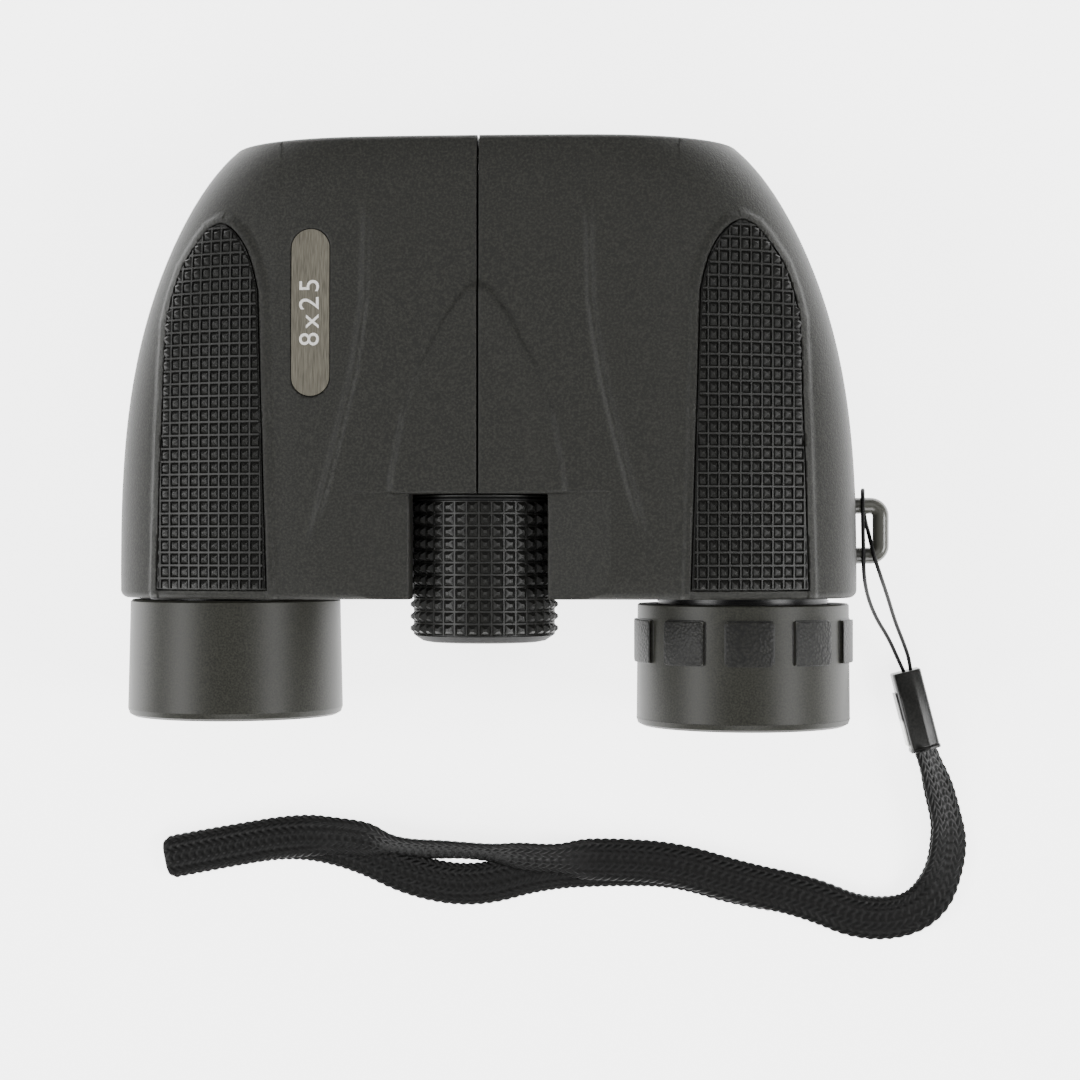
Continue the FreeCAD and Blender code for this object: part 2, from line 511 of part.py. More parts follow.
def make_left_eyepiece():
    inner = BARREL_R - BARREL_WALL
    end = -36.2
    front = -14.0
    barrel = tube(EYEPIECE_X, EQUATOR_Z, BARREL_R, inner, end, front)
    flange = tube(EYEPIECE_X, EQUATOR_Z, BARREL_R + 1.2, inner, REAR_Y + END_WALL, REAR_Y + END_WALL + 1.5)
    stop = tube(EYEPIECE_X, EQUATOR_Z, inner + 0.1, inner - 1.4, -30.4, -29.4)
    stop = stop.fuse(tube(EYEPIECE_X, EQUATOR_Z, inner + 0.1, inner - 1.4, -18.6, -17.6))
    keep("left_eyepiece_barrel", mirrored(barrel.fuse(flange).fuse(stop).removeSplitter(), -1))
    keep("left_field_lens", mirrored(lens(EYEPIECE_X, inner - SEAT_FIT, -14.9, 2.4, 0.8), -1))
    keep("left_eye_lens", mirrored(lens(EYEPIECE_X, inner - SEAT_FIT, -30.7, 2.5, 0.9), -1))
    ring = tube(EYEPIECE_X, EQUATOR_Z, inner - SEAT_FIT, inner - 1.2, -35.8, -33.5)
    keep("left_eyepiece_ring", mirrored(ring, -1))
    rim = EYECUP_LEFT_END
    grow = 0.35
    cup = turned(EYEPIECE_X, EQUATOR_Z,
                 [(BARREL_R + SEAT_FIT, REAR_Y - 0.3), (EYECUP_R - 0.3, REAR_Y - 0.3), (EYECUP_R, REAR_Y - 0.6),
                  (EYECUP_R + grow, rim + 1.1), (EYECUP_R + grow - 0.25, rim + 0.35), (EYECUP_R - 0.5, rim),
                  (BARREL_R + 0.4, rim), (BARREL_R - 1.2, end - 0.6), (BARREL_R - 1.2, end - 0.02),
                  (BARREL_R + SEAT_FIT, end - 0.02)])
    keep("left_eyecup", mirrored(cup, -1))


def make_right_eyepiece():
    inner = BARREL_R - BARREL_WALL
    end = -37.4
    barrel = tube(EYEPIECE_X, EQUATOR_Z, BARREL_R, inner, end, -14.0)
    flange = tube(EYEPIECE_X, EQUATOR_Z, BARREL_R + 1.2, inner, REAR_Y + END_WALL, REAR_Y + END_WALL + 1.5)
    grooves = [tube(EYEPIECE_X, EQUATOR_Z, BARREL_R + 1, BARREL_R - 0.2, y, y + 0.25)
               for y in (REAR_Y - 0.45, REAR_Y - 0.85)]
    barrel = barrel.fuse(flange).removeSplitter()
    for groove in grooves:
        barrel = barrel.cut(groove)
    keep("right_eyepiece_barrel", barrel)
    outer = inner - SLIDE_FIT
    bore = outer - 1.0
    ocular = tube(EYEPIECE_X, EQUATOR_Z, outer, bore, -36.2, -16.0)
    ocular = ocular.fuse(tube(EYEPIECE_X, EQUATOR_Z, outer - 0.1, bore - 1.2, -30.4, -29.4))
    ocular = ocular.fuse(tube(EYEPIECE_X, EQUATOR_Z, outer - 0.1, bore - 1.2, -20.6, -19.6))
    keep("right_ocular_tube", ocular.removeSplitter())
    keep("right_field_lens", lens(EYEPIECE_X, bore - SEAT_FIT, -16.9, 2.4, 0.7))
    keep("right_eye_lens", lens(EYEPIECE_X, bore - SEAT_FIT, -30.7, 2.5, 0.9))
    keep("right_eyepiece_ring", tube(EYEPIECE_X, EQUATOR_Z, bore - SEAT_FIT, bore - 1.1, -35.8, -33.5))
    ring = turned(EYEPIECE_X, EQUATOR_Z,
                  [(BARREL_R + SLIDE_FIT, RING_REAR), (BARREL_R + SLIDE_FIT, RING_FRONT), (EYECUP_R - 0.2, RING_FRONT),
                   (EYECUP_R, RING_FRONT - 0.2), (EYECUP_R + 0.15, RING_REAR)])
    pad_front = RING_FRONT - 2.3
    pad_half = math.radians(12)
    pad_outer = EYECUP_R + PAD_HEIGHT
    for index in range(PAD_COUNT):
        pad = tube(EYEPIECE_X, EQUATOR_Z, pad_outer, EYECUP_R - 0.6, pad_front - PAD_LENGTH, pad_front)
        far = 40 * math.tan(pad_half)
        sector = prism_y([(0, 0), (far, 40), (-far, 40)], pad_front - 20, pad_front + 5)
        sector.rotate(V(0, 0, 0), V(0, 1, 0), 1 + 36 * index)
        sector.translate(V(EYEPIECE_X, 0, EQUATOR_Z))
        ring = ring.fuse(pad.common(sector))
    keep("dioptre_ring", ring)
    rim = EYECUP_RIGHT_END
    cup = turned(EYEPIECE_X, EQUATOR_Z,
                 [(BARREL_R + SLIDE_FIT, RING_REAR), (EYECUP_R + 0.15, RING_REAR), (EYECUP_R + 0.2, rim + 1.1),
                  (EYECUP_R - 0.05, rim + 0.35), (EYECUP_R - 0.7, rim), (BARREL_R + 0.2, rim),
                  (BARREL_R - 1.3, end - OCULAR_TRAVEL - 0.6), (BARREL_R - 1.3, end - 0.3),
                  (BARREL_R + SLIDE_FIT, end - 0.3)])
    keep("right_eyecup", cup)


# ---- hinge and focus ---------------------------------------------------------------------------------------
def make_hinge():
    bush_front = REAR_KNUCKLE_Y + 2 * KNUCKLE_LENGTH + KNUCKLE_GAP
    bush = tube(0, HINGE_Z, BUSH_R, SPINDLE_R + SLIDE_FIT, REAR_KNUCKLE_Y, bush_front + 0.9)
    bush = bush.fuse(tube(0, HINGE_Z, KNUCKLE_R - 0.6, BUSH_R - 0.1, bush_front + 0.1, bush_front + 0.9))
    keep("hinge_bush", bush.removeSplitter())
    pin_rear = FRONT_KNUCKLE_Y - 0.5
    pin_front = FRONT_KNUCKLE_Y + 2 * KNUCKLE_LENGTH + KNUCKLE_GAP
    pin = rod(0, HINGE_Z, PIN_R, pin_rear, pin_front + 1.2)
    pin = pin.fuse(rod(0, HINGE_Z, KNUCKLE_R - 0.9, pin_front, pin_front + 1.2))
    keep("hinge_pin", pin.removeSplitter())
    washers = []
    for y, bore in ((REAR_KNUCKLE_Y, BUSH_R), (FRONT_KNUCKLE_Y, PIN_R)):
        start = y + KNUCKLE_LENGTH + 0.05
        washers.append(tube(0, HINGE_Z, KNUCKLE_R - 0.4, bore + SEAT_FIT, start, start + KNUCKLE_GAP - 0.1))
    keep("hinge_washers", Part.Compound(washers))


def make_focus():
    sleeve_in = WHEEL_R - WHEEL_SLEEVE_WALL
    front_seat = WHEEL_FRONT - SLEEVE_FROM_FRONT
    rear_seat = WHEEL_REAR + SLEEVE_FROM_REAR
    core = turned(0, HINGE_Z,
                  [(0, WHEEL_FRONT), (WHEEL_R - 0.5, WHEEL_FRONT), (WHEEL_R - 0.2, WHEEL_FRONT - 0.3),
                   (WHEEL_R - 0.2, front_seat), (sleeve_in, front_seat),
                   (sleeve_in, rear_seat), (WHEEL_R - 0.6, rear_seat),
                   (WHEEL_R - 0.9, WHEEL_REAR + 0.8), (WHEEL_R - 1.8, WHEEL_REAR + 0.2),
                   (WHEEL_R - 2.8, WHEEL_REAR), (5.2, WHEEL_REAR), (4.8, WHEEL_REAR + 1.0), (0, WHEEL_REAR + 1.0)])
    spindle = rod(0, HINGE_Z, SPINDLE_R, WHEEL_REAR + 6, SPINDLE_END)
    spindle = spindle.fuse(rod(0, HINGE_Z, SPINDLE_R + 0.4, 4.5, SPINDLE_END - 1)).removeSplitter()
    keep("focus_wheel", core.cut(rod(0, HINGE_Z, SPINDLE_R, WHEEL_REAR + 6, 0)))
    keep("focus_wheel_sleeve", tube(0, HINGE_Z, WHEEL_R, sleeve_in + SEAT_FIT, rear_seat + 0.1, front_seat - 0.1))
    keep("focus_spindle", spindle)
    clip_y = REAR_KNUCKLE_Y + 2 * KNUCKLE_LENGTH + KNUCKLE_GAP + 1.2
    keep("spindle_clip", tube(0, HINGE_Z, 3.6, SPINDLE_R + SEAT_FIT, clip_y, clip_y + 0.7))
    bore = SPINDLE_R + 0.4 + SLIDE_FIT
    carriage = tube(0, HINGE_Z, GROOVE_R, bore, GROOVE_Y - 7, GROOVE_Y + ARM_THICK + 1.6)
    for y in (GROOVE_Y - 1.6, GROOVE_Y + ARM_THICK):
        carriage = carriage.fuse(tube(0, HINGE_Z, COLLAR_R, bore, y, y + 1.6))
    keep("focus_carriage", carriage.removeSplitter())


# ---- strap -------------------------------------------------------------------------------------------------
def rounded_route(points):
    """Straight runs joined by tangent arcs: a list of (start, end, middle), where a run has no middle."""
    pieces = []
    start = points[0]
    radii = []
    for before, corner, after in zip(points, points[1:], points[2:]):
        into = corner - before
        out = after - corner
        turn = into.getAngle(out)
        shorter = min(into.Length, out.Length)
        radius = 0.45 * shorter / math.tan(turn / 2)
        radii.append(radius)
        cut = radius * math.tan(turn / 2)
        first = corner - V(into).normalize() * cut
        last = corner + V(out).normalize() * cut
        toward = (V(out).normalize() - V(into).normalize()).normalize()
        centre = corner + toward * (radius / math.cos(turn / 2))
        middle = centre - toward * radius
        pieces.append((start, first, None))
        pieces.append((first, last, middle))
        start = last
    pieces.append((start, points[-1], None))
    return pieces, radii


def route_edges(points, label):
    pieces, radii = rounded_route(points)
    print(label, "radii", [round(r, 1) for r in radii])
    edges = []
    for start, end, middle in pieces:
        line = Part.LineSegment(start, end) if middle is None else Part.Arc(start, middle, end)
        edges.append(line.toShape())
    return edges


def round_cord(points, diameter, label):
    points = [V(*p) for p in points]
    wire = Part.Wire(route_edges(points, label))
    section = Part.Wire(Part.makeCircle(diameter / 2, points[0], points[1] - points[0]))
    cord = wire.makePipeShell([section], True, True)
    print(label, "length", round(wire.Length, 1), "volume ratio",
          round(cord.Volume / (wire.Length * math.pi * diameter ** 2 / 4), 3))
    return cord


def flat_band(points, z, label):
    """A flat strap lying on the ground: two offset edges of the route, raised by the strap's thickness."""
    pieces, radii = rounded_route([V(x, y, z) for x, y in points])
    print(label, "radii", [round(r, 1) for r in radii])
    length = sum(edge.Length for edge in route_edges([V(x, y, z) for x, y in points], label))
    up = V(0, 0, 1)
    borders = []
    for sign in (1, -1):
        edges = []
        for start, end, middle in pieces:
            if middle is None:
                side = up.cross(end - start).normalize() * (sign * STRAP_WIDTH / 2)
                edges.append(Part.LineSegment(start + side, end + side).toShape())
                last_side = side
                continue
            edges.append(("arc", start, end, middle, last_side))
        solid_edges = []
        for index, edge in enumerate(edges):
            if isinstance(edge, tuple):
                first = edges[index - 1].Vertexes[1].Point
                second = edges[index + 1].Vertexes[0].Point
                kind, start, end, middle, side = edge
                chord = (end - start).normalize()
                mid_side = up.cross(chord).normalize() * (sign * STRAP_WIDTH / 2)
                solid_edges.append(Part.Arc(first, middle + mid_side, second).toShape())
            else:
                solid_edges.append(edge)
        borders.append(solid_edges)
    ends = [Part.LineSegment(borders[0][-1].Vertexes[1].Point, borders[1][-1].Vertexes[1].Point).toShape(),
            Part.LineSegment(borders[0][0].Vertexes[0].Point, borders[1][0].Vertexes[0].Point).toShape()]
    outline = Part.Wire(Part.__sortEdges__(borders[0] + borders[1] + ends))
    band = Part.Face(outline).extrude(V(0, 0, STRAP_THICK))
    print(label, "length", round(length, 1), "volume ratio",
          round(band.Volume / (length * STRAP_WIDTH * STRAP_THICK), 3))
    return band


def make_strap():
    keep("strap_string", round_cord(STRING_ROUTE, STRING_D, "string"))
    strap_start = V(*STRAP_LOWER[0], 0)
    direction = (V(*STRAP_LOWER[1], 0) - strap_start).normalize()
    tilt = math.degrees(math.atan2(direction.x, -direction.y))
    half = CLIP_WIDTH / 2
    profile = [(-half, 0.4), (half, 0.4), (half, CLIP_HEIGHT * 0.55), (half * 0.45, CLIP_HEIGHT),
               (-half * 0.45, CLIP_HEIGHT), (-half, CLIP_HEIGHT * 0.55)]
    clip = prism_y(profile, 0, CLIP_LENGTH)
    label = box(-half - 0.25, -half, 2.5, CLIP_LENGTH - 3.0, 0.8, CLIP_HEIGHT * 0.5)
    for shape in (clip, label):
        shape.rotate(V(0, 0, 0), V(0, 0, 1), tilt)
        shape.translate(strap_start)
    keep("strap_clip", clip)
    keep("clip_label", label)
    keep("wrist_strap_lower", flat_band(STRAP_LOWER, 0.0, "lower strap"))
    keep("wrist_strap_upper", flat_band(STRAP_UPPER, STRAP_THICK + STRAP_GAP, "upper strap"))


make_housing()
make_chassis()
make_objective()
make_left_eyepiece()
make_right_eyepiece()
make_hinge()
make_focus()
make_strap()

os.makedirs("parts", exist_ok=True)
for node, shape in parts.items():
    if not shape.isValid():
        print("not valid:", node)
    print(node, len(shape.Solids), round(shape.Volume, 1))
    shape.exportStep("parts/" + node + ".step")
whole = Part.Compound([s for n, s in parts.items() if not n.startswith(("strap", "clip_label", "wrist"))])
print("nodes", len(parts), "box", whole.BoundBox)
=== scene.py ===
"""Compact binoculars: finishes, moulded detail, strap, camera and light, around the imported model."""
import json
import math
import sys

import bmesh
import bpy
from bpy.props import FloatProperty, IntProperty, PointerProperty, StringProperty
from mathutils import Matrix, Vector
from mathutils.bvhtree import BVHTree
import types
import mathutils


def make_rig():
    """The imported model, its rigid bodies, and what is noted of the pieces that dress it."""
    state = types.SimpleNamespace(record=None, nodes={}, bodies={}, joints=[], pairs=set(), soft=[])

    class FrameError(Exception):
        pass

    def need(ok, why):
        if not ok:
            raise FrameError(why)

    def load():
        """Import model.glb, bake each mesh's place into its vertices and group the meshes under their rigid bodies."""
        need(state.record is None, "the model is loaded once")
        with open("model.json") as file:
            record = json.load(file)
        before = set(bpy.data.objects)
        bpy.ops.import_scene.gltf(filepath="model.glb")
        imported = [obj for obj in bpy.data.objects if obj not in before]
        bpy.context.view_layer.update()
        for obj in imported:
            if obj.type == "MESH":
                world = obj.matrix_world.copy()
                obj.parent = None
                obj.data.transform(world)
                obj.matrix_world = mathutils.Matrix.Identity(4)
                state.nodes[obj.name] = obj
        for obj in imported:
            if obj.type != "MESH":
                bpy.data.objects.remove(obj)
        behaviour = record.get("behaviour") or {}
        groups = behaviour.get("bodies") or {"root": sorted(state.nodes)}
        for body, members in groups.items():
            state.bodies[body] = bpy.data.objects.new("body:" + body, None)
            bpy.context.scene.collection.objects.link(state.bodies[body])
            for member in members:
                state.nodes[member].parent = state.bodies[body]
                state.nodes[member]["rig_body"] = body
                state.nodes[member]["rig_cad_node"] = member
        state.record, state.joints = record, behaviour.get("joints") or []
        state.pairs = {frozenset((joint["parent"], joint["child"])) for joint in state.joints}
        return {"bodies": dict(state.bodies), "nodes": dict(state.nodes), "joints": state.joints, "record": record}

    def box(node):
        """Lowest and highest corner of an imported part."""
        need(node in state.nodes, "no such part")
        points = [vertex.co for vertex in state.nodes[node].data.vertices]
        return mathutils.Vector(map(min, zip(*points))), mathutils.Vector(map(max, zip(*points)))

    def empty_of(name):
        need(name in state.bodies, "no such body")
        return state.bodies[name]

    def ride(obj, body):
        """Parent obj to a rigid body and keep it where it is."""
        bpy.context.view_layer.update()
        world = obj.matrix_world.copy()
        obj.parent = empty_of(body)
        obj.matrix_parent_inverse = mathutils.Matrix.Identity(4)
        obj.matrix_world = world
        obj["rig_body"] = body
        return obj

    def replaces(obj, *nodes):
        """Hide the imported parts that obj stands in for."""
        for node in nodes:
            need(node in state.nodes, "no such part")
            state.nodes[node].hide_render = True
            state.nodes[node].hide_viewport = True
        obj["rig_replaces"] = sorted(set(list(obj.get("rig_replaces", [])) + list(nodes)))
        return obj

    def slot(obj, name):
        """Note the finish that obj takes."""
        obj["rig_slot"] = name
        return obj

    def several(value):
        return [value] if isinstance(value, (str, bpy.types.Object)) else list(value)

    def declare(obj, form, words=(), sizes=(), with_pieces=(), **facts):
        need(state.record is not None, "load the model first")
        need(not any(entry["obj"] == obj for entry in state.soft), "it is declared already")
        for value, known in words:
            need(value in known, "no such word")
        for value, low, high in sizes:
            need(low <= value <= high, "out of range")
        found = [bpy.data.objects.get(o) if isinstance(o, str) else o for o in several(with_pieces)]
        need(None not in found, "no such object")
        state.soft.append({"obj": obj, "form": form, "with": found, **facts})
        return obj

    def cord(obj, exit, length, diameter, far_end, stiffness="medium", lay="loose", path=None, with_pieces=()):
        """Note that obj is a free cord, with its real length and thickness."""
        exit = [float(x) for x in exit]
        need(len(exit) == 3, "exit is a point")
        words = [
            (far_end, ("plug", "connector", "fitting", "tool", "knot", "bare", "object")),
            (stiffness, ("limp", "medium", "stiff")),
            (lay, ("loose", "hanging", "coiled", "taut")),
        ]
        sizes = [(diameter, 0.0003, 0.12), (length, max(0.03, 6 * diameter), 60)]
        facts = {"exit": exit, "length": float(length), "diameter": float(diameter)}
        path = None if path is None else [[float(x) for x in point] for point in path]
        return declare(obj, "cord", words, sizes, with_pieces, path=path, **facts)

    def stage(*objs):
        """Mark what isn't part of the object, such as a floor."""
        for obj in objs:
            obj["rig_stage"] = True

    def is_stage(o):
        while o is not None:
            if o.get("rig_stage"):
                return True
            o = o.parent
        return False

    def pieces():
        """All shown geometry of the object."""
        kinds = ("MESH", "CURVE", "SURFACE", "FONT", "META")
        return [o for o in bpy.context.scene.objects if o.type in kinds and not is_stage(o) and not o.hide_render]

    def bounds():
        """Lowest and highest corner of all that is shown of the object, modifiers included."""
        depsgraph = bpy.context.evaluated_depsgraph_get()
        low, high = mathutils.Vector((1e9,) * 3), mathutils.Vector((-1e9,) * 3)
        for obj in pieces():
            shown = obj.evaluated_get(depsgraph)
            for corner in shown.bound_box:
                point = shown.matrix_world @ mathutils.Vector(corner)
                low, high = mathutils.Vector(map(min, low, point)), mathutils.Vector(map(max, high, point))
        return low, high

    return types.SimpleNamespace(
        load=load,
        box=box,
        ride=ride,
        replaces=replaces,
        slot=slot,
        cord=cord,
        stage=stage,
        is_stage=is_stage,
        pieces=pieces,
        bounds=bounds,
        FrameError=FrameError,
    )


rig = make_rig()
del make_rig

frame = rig.load()
cad_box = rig.bounds()

bl_info = {
    "name": "Compact Binoculars",
    "version": (1, 0, 0),
    "blender": (4, 5, 0),
    "location": "View3D > Sidebar > Binoculars",
    "description": "Builds the looks of a pair of compact folding binoculars round its CAD frame",
    "category": "Object",
}

MM = 0.001
SIDES = ("right", "left")


# ---- small helpers -------------------------------------------------------------------------------
def linear(code):
    """An sRGB hex colour such as '#2e2e2b' as linear RGBA."""
    values = [int(code[i:i + 2], 16) / 255 for i in (1, 3, 5)]
    return [v / 12.92 if v <= 0.04045 else ((v + 0.055) / 1.055) ** 2.4 for v in values] + [1.0]


def add(tree, kind, settings=None, **inputs):
    """Add a shader node, set its properties, and set or link its inputs by name."""
    node = tree.nodes.new(kind)
    for key, value in (settings or {}).items():
        setattr(node, key, value)
    for key, value in inputs.items():
        socket = node.inputs[int(key[1:])] if key[0] == "_" else node.inputs[key.replace("_", " ")]
        if isinstance(value, bpy.types.NodeSocket):
            tree.links.new(value, socket)
        else:
            socket.default_value = value
    return node


def new_material(name, colour, roughness, metallic=0.0, **sockets):
    """A material with its shader and Object coordinates ready: (material, tree, shader, coordinates)."""
    material = bpy.data.materials.new(name)
    material.use_nodes = True
    tree = material.node_tree
    shader = tree.nodes["Principled BSDF"]
    shader.inputs["Base Color"].default_value = linear(colour)
    shader.inputs["Roughness"].default_value = roughness
    shader.inputs["Metallic"].default_value = metallic
    for key, value in sockets.items():
        shader.inputs[key.replace("_", " ")].default_value = value
    place = tree.nodes.new("ShaderNodeTexCoord").outputs["Object"]
    return material, tree, shader, place


def tint(tree, shader, factor, dark, light, low=0.35, high=0.65):
    """Colour that varies between two hex colours with a pattern."""
    ramp = add(tree, "ShaderNodeValToRGB", Fac=factor)
    ramp.color_ramp.elements[0].position = low
    ramp.color_ramp.elements[0].color = linear(dark)
    ramp.color_ramp.elements[1].position = high
    ramp.color_ramp.elements[1].color = linear(light)
    tree.links.new(ramp.outputs["Color"], shader.inputs["Base Color"])


def bump(tree, shader, height, distance_mm, strength=1.0):
    """Relief distance_mm deep that follows a pattern."""
    node = add(tree, "ShaderNodeBump", Height=height, Strength=strength, Distance=distance_mm * MM)
    tree.links.new(node.outputs["Normal"], shader.inputs["Normal"])


def grain(tree, place, size_mm, detail=2.0, rough=0.5):
    """Noise whose blobs are about size_mm across."""
    return add(tree, "ShaderNodeTexNoise", Vector=place, Scale=1 / (size_mm * MM), Detail=detail,
               Roughness=rough).outputs["Fac"]


def cells(tree, place, size_mm, feature="F1"):
    """Rounded cells about size_mm across."""
    return add(tree, "ShaderNodeTexVoronoi", {"feature": feature}, Vector=place,
               Scale=1 / (size_mm * MM)).outputs["Distance"]


def bands(tree, place, size_mm, **inputs):
    """Bands across Y, one every 2 pi times size_mm: the texture itself repeats every 2 pi / 20."""
    return add(tree, "ShaderNodeTexWave", {"wave_type": "BANDS", "bands_direction": "Y"}, Vector=place,
               Scale=1 / (size_mm * MM) / 20, **inputs).outputs["Fac"]


def vary_roughness(tree, shader, factor, low, high):
    """Roughness that varies between two values with a pattern."""
    spread = add(tree, "ShaderNodeMapRange", Value=factor, To_Min=low, To_Max=high)
    tree.links.new(spread.outputs["Result"], shader.inputs["Roughness"])


def to_object(name, bm, material, body, slot, smooth=True, replaced=()):
    """Make a finished piece of a bmesh, riding on a body of the frame."""
    bmesh.ops.recalc_face_normals(bm, faces=bm.faces)
    mesh = bpy.data.meshes.new(name)
    bm.to_mesh(mesh)
    bm.free()
    for polygon in mesh.polygons:
        polygon.use_smooth = smooth
    piece = bpy.data.objects.new(name, mesh)
    bpy.context.scene.collection.objects.link(piece)
    mesh.materials.append(material)
    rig.ride(piece, body)
    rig.slot(piece, slot)
    if replaced:
        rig.replaces(piece, *replaced)
    return piece


def verts_in(geometry):
    """The vertices among what a bmesh operator made."""
    return [item for item in geometry if isinstance(item, bmesh.types.BMVert)]


def cut(bm, place, normal, drop=False):
    """Cut a whole bmesh with a plane, and drop what lies behind it if asked."""
    bmesh.ops.bisect_plane(bm, geom=bm.verts[:] + bm.edges[:] + bm.faces[:], dist=0.0,
                           plane_co=place, plane_no=normal, clear_inner=drop)


def finish_node(name, material):
    """Give a CAD node its material."""
    mesh = frame["nodes"][name].data
    mesh.materials.clear()
    mesh.materials.append(material)


def surface_of(name):
    """A ray-castable copy of a CAD node's surface."""
    mesh = frame["nodes"][name].data
    return BVHTree.FromPolygons([v.co for v in mesh.vertices], [p.vertices for p in mesh.polygons])


def centre_line(points, name):
    """The smooth line of a strap or string, as a NURBS curve object through its route."""
    curve = bpy.data.curves.new(name, "CURVE")
    curve.dimensions = "3D"
    curve.resolution_u = 12
    spline = curve.splines.new("NURBS")
    spline.points.add(len(points) - 1)
    for point, place in zip(spline.points, points):
        point.co = (*[value * MM for value in place], 1.0)
    spline.order_u = 3
    spline.use_endpoint_u = True
    line = bpy.data.objects.new(name, curve)
    bpy.context.scene.collection.objects.link(line)
    return line


def line_points(points, name, step_mm):
    """Evenly spaced points read from the route's smooth line."""
    line = centre_line(points, name)
    mesh = bpy.data.meshes.new_from_object(line)
    raw = [v.co.copy() for v in mesh.vertices]
    curve = line.data
    bpy.data.objects.remove(line)
    bpy.data.curves.remove(curve)
    bpy.data.meshes.remove(mesh)
    even = [raw[0]]
    left = step_mm * MM
    for start, end in zip(raw, raw[1:]):
        run = (end - start).length
        done = 0.0
        while run - done >= left:
            done += left
            even.append(start.lerp(end, done / run))
            left = step_mm * MM
        left -= run - done
    return even


# ---- sizes and colours a user would change -------------------------------------------------------
class BinocularSizes(bpy.types.PropertyGroup):
    stud_across: FloatProperty(
        name="Stud spacing across", description="Grip studs, side to side, mm", default=1.49)
    stud_along: FloatProperty(
        name="Stud spacing along", description="Grip studs, front to rear, mm", default=1.83)
    stud_height: FloatProperty(name="Stud height", description="Height of a stud, mm", default=0.72)
    wheel_studs: IntProperty(
        name="Studs round the wheel", description="Studs in one ring of the wheel", default=36)
    wheel_rows: IntProperty(name="Rings of studs", description="Rings of studs along the wheel", default=11)
    tread_height: FloatProperty(
        name="Tread height", description="Height of the wheel's studs, mm", default=0.62)
    ridge_height: FloatProperty(
        name="Crease height", description="Height of the moulded creases, mm", default=0.42)
    shield_rise: FloatProperty(
        name="Shield rise", description="Rise of the arched shield at the seam, mm", default=0.45)
    band_rise: FloatProperty(
        name="Band rise", description="Rise of the band round each grip, mm", default=0.34)
    pad_count: IntProperty(name="Pads", description="Pads round the dioptre ring", default=10)
    pad_length: FloatProperty(
        name="Pad length", description="Length of a pad along the ring, mm", default=6.16)
    pad_width: FloatProperty(name="Pad width", description="Width of a pad round the ring, mm", default=6.7)
    strap_width: FloatProperty(name="Strap width", description="Width of the wrist strap, mm", default=6.3)
    strap_thick: FloatProperty(
        name="Strap thickness", description="Thickness of one strand, mm", default=1.1)
    braid_pitch: FloatProperty(
        name="Braid pitch", description="Length of one stitch of the braid, mm", default=1.25)
    braid_column: FloatProperty(
        name="Braid column", description="Width of one column of stitches, mm", default=0.78)
    string_thick: FloatProperty(
        name="String thickness", description="Thickness of the string, mm", default=0.6)
    legend: StringProperty(name="Legend", description="Size legend printed on the plate", default="8x25")


class BinocularColours(bpy.types.PropertyGroup):
    housing: StringProperty(name="Housing", description="Soft-touch paint", default="#20201e")
    housing_light: StringProperty(
        name="Housing spark", description="Light grains of the paint", default="#2f2f2b")
    rubber: StringProperty(name="Rubber", description="Grips and wheel", default="#171716")
    satin: StringProperty(name="Satin rings", description="Eyecups and dioptre ring", default="#1e1e1a")
    plate: StringProperty(name="Plate", description="Anodised name plate", default="#625f55")
    braid: StringProperty(name="Braid", description="Strap and string", default="#030303")


def sizes():
    return bpy.context.scene.binocular_sizes


def colours():
    return bpy.context.scene.binocular_colours


# ---- materials -----------------------------------------------------------------------------------
def soft_touch_paint():
    """Moulded polycarbonate under fine-textured soft-touch paint: matt, with a spark of lighter grains."""
    material, tree, shader, place = new_material("soft_touch_paint", colours().housing, 0.5,
                                                 Specular_IOR_Level=0.22)
    fine = grain(tree, place, 0.32, 3.0, 0.6)
    tint(tree, shader, fine, colours().housing, colours().housing_light, 0.42, 0.68)
    vary_roughness(tree, shader, fine, 0.42, 0.6)
    bump(tree, shader, fine, 0.07, 0.7)
    return material


def moulded_rubber():
    """Black moulded rubber: dull, faintly grained."""
    material, tree, shader, place = new_material("moulded_rubber", colours().rubber, 0.45,
                                                 Specular_IOR_Level=0.3)
    fine = grain(tree, place, 0.22, 2.0)
    tint(tree, shader, fine, colours().rubber, "#262624")
    bump(tree, shader, fine, 0.03, 0.5)
    return material


def leathery_rubber():
    """Moulded rubber pad with a fine leather grain."""
    material, tree, shader, place = new_material("leathery_rubber", colours().rubber, 0.5,
                                                 Specular_IOR_Level=0.25)
    pebbles = cells(tree, place, 0.42)
    tint(tree, shader, pebbles, "#1f1f1c", "#121211", 0.2, 0.7)
    bump(tree, shader, pebbles, 0.08, 0.8)
    return material


def satin_polycarbonate():
    """Moulded polycarbonate with a fine satin grain: soft, wide highlights."""
    material, tree, shader, place = new_material("satin_polycarbonate", colours().satin, 0.4,
                                                 Specular_IOR_Level=0.26)
    fine = grain(tree, place, 0.25, 2.0)
    tint(tree, shader, fine, colours().satin, "#2e2e28")
    vary_roughness(tree, shader, fine, 0.38, 0.5)
    bump(tree, shader, fine, 0.02, 0.4)
    return material


def glass_filled_nylon():
    """Glass-filled nylon of the inner frames: dull black with a faint fibre mottle."""
    material, tree, shader, place = new_material("glass_filled_nylon", "#161616", 0.6,
                                                 Specular_IOR_Level=0.2)
    fine = grain(tree, place, 0.6, 3.0)
    tint(tree, shader, fine, "#121212", "#1f1f1e")
    bump(tree, shader, fine, 0.02, 0.4)
    return material


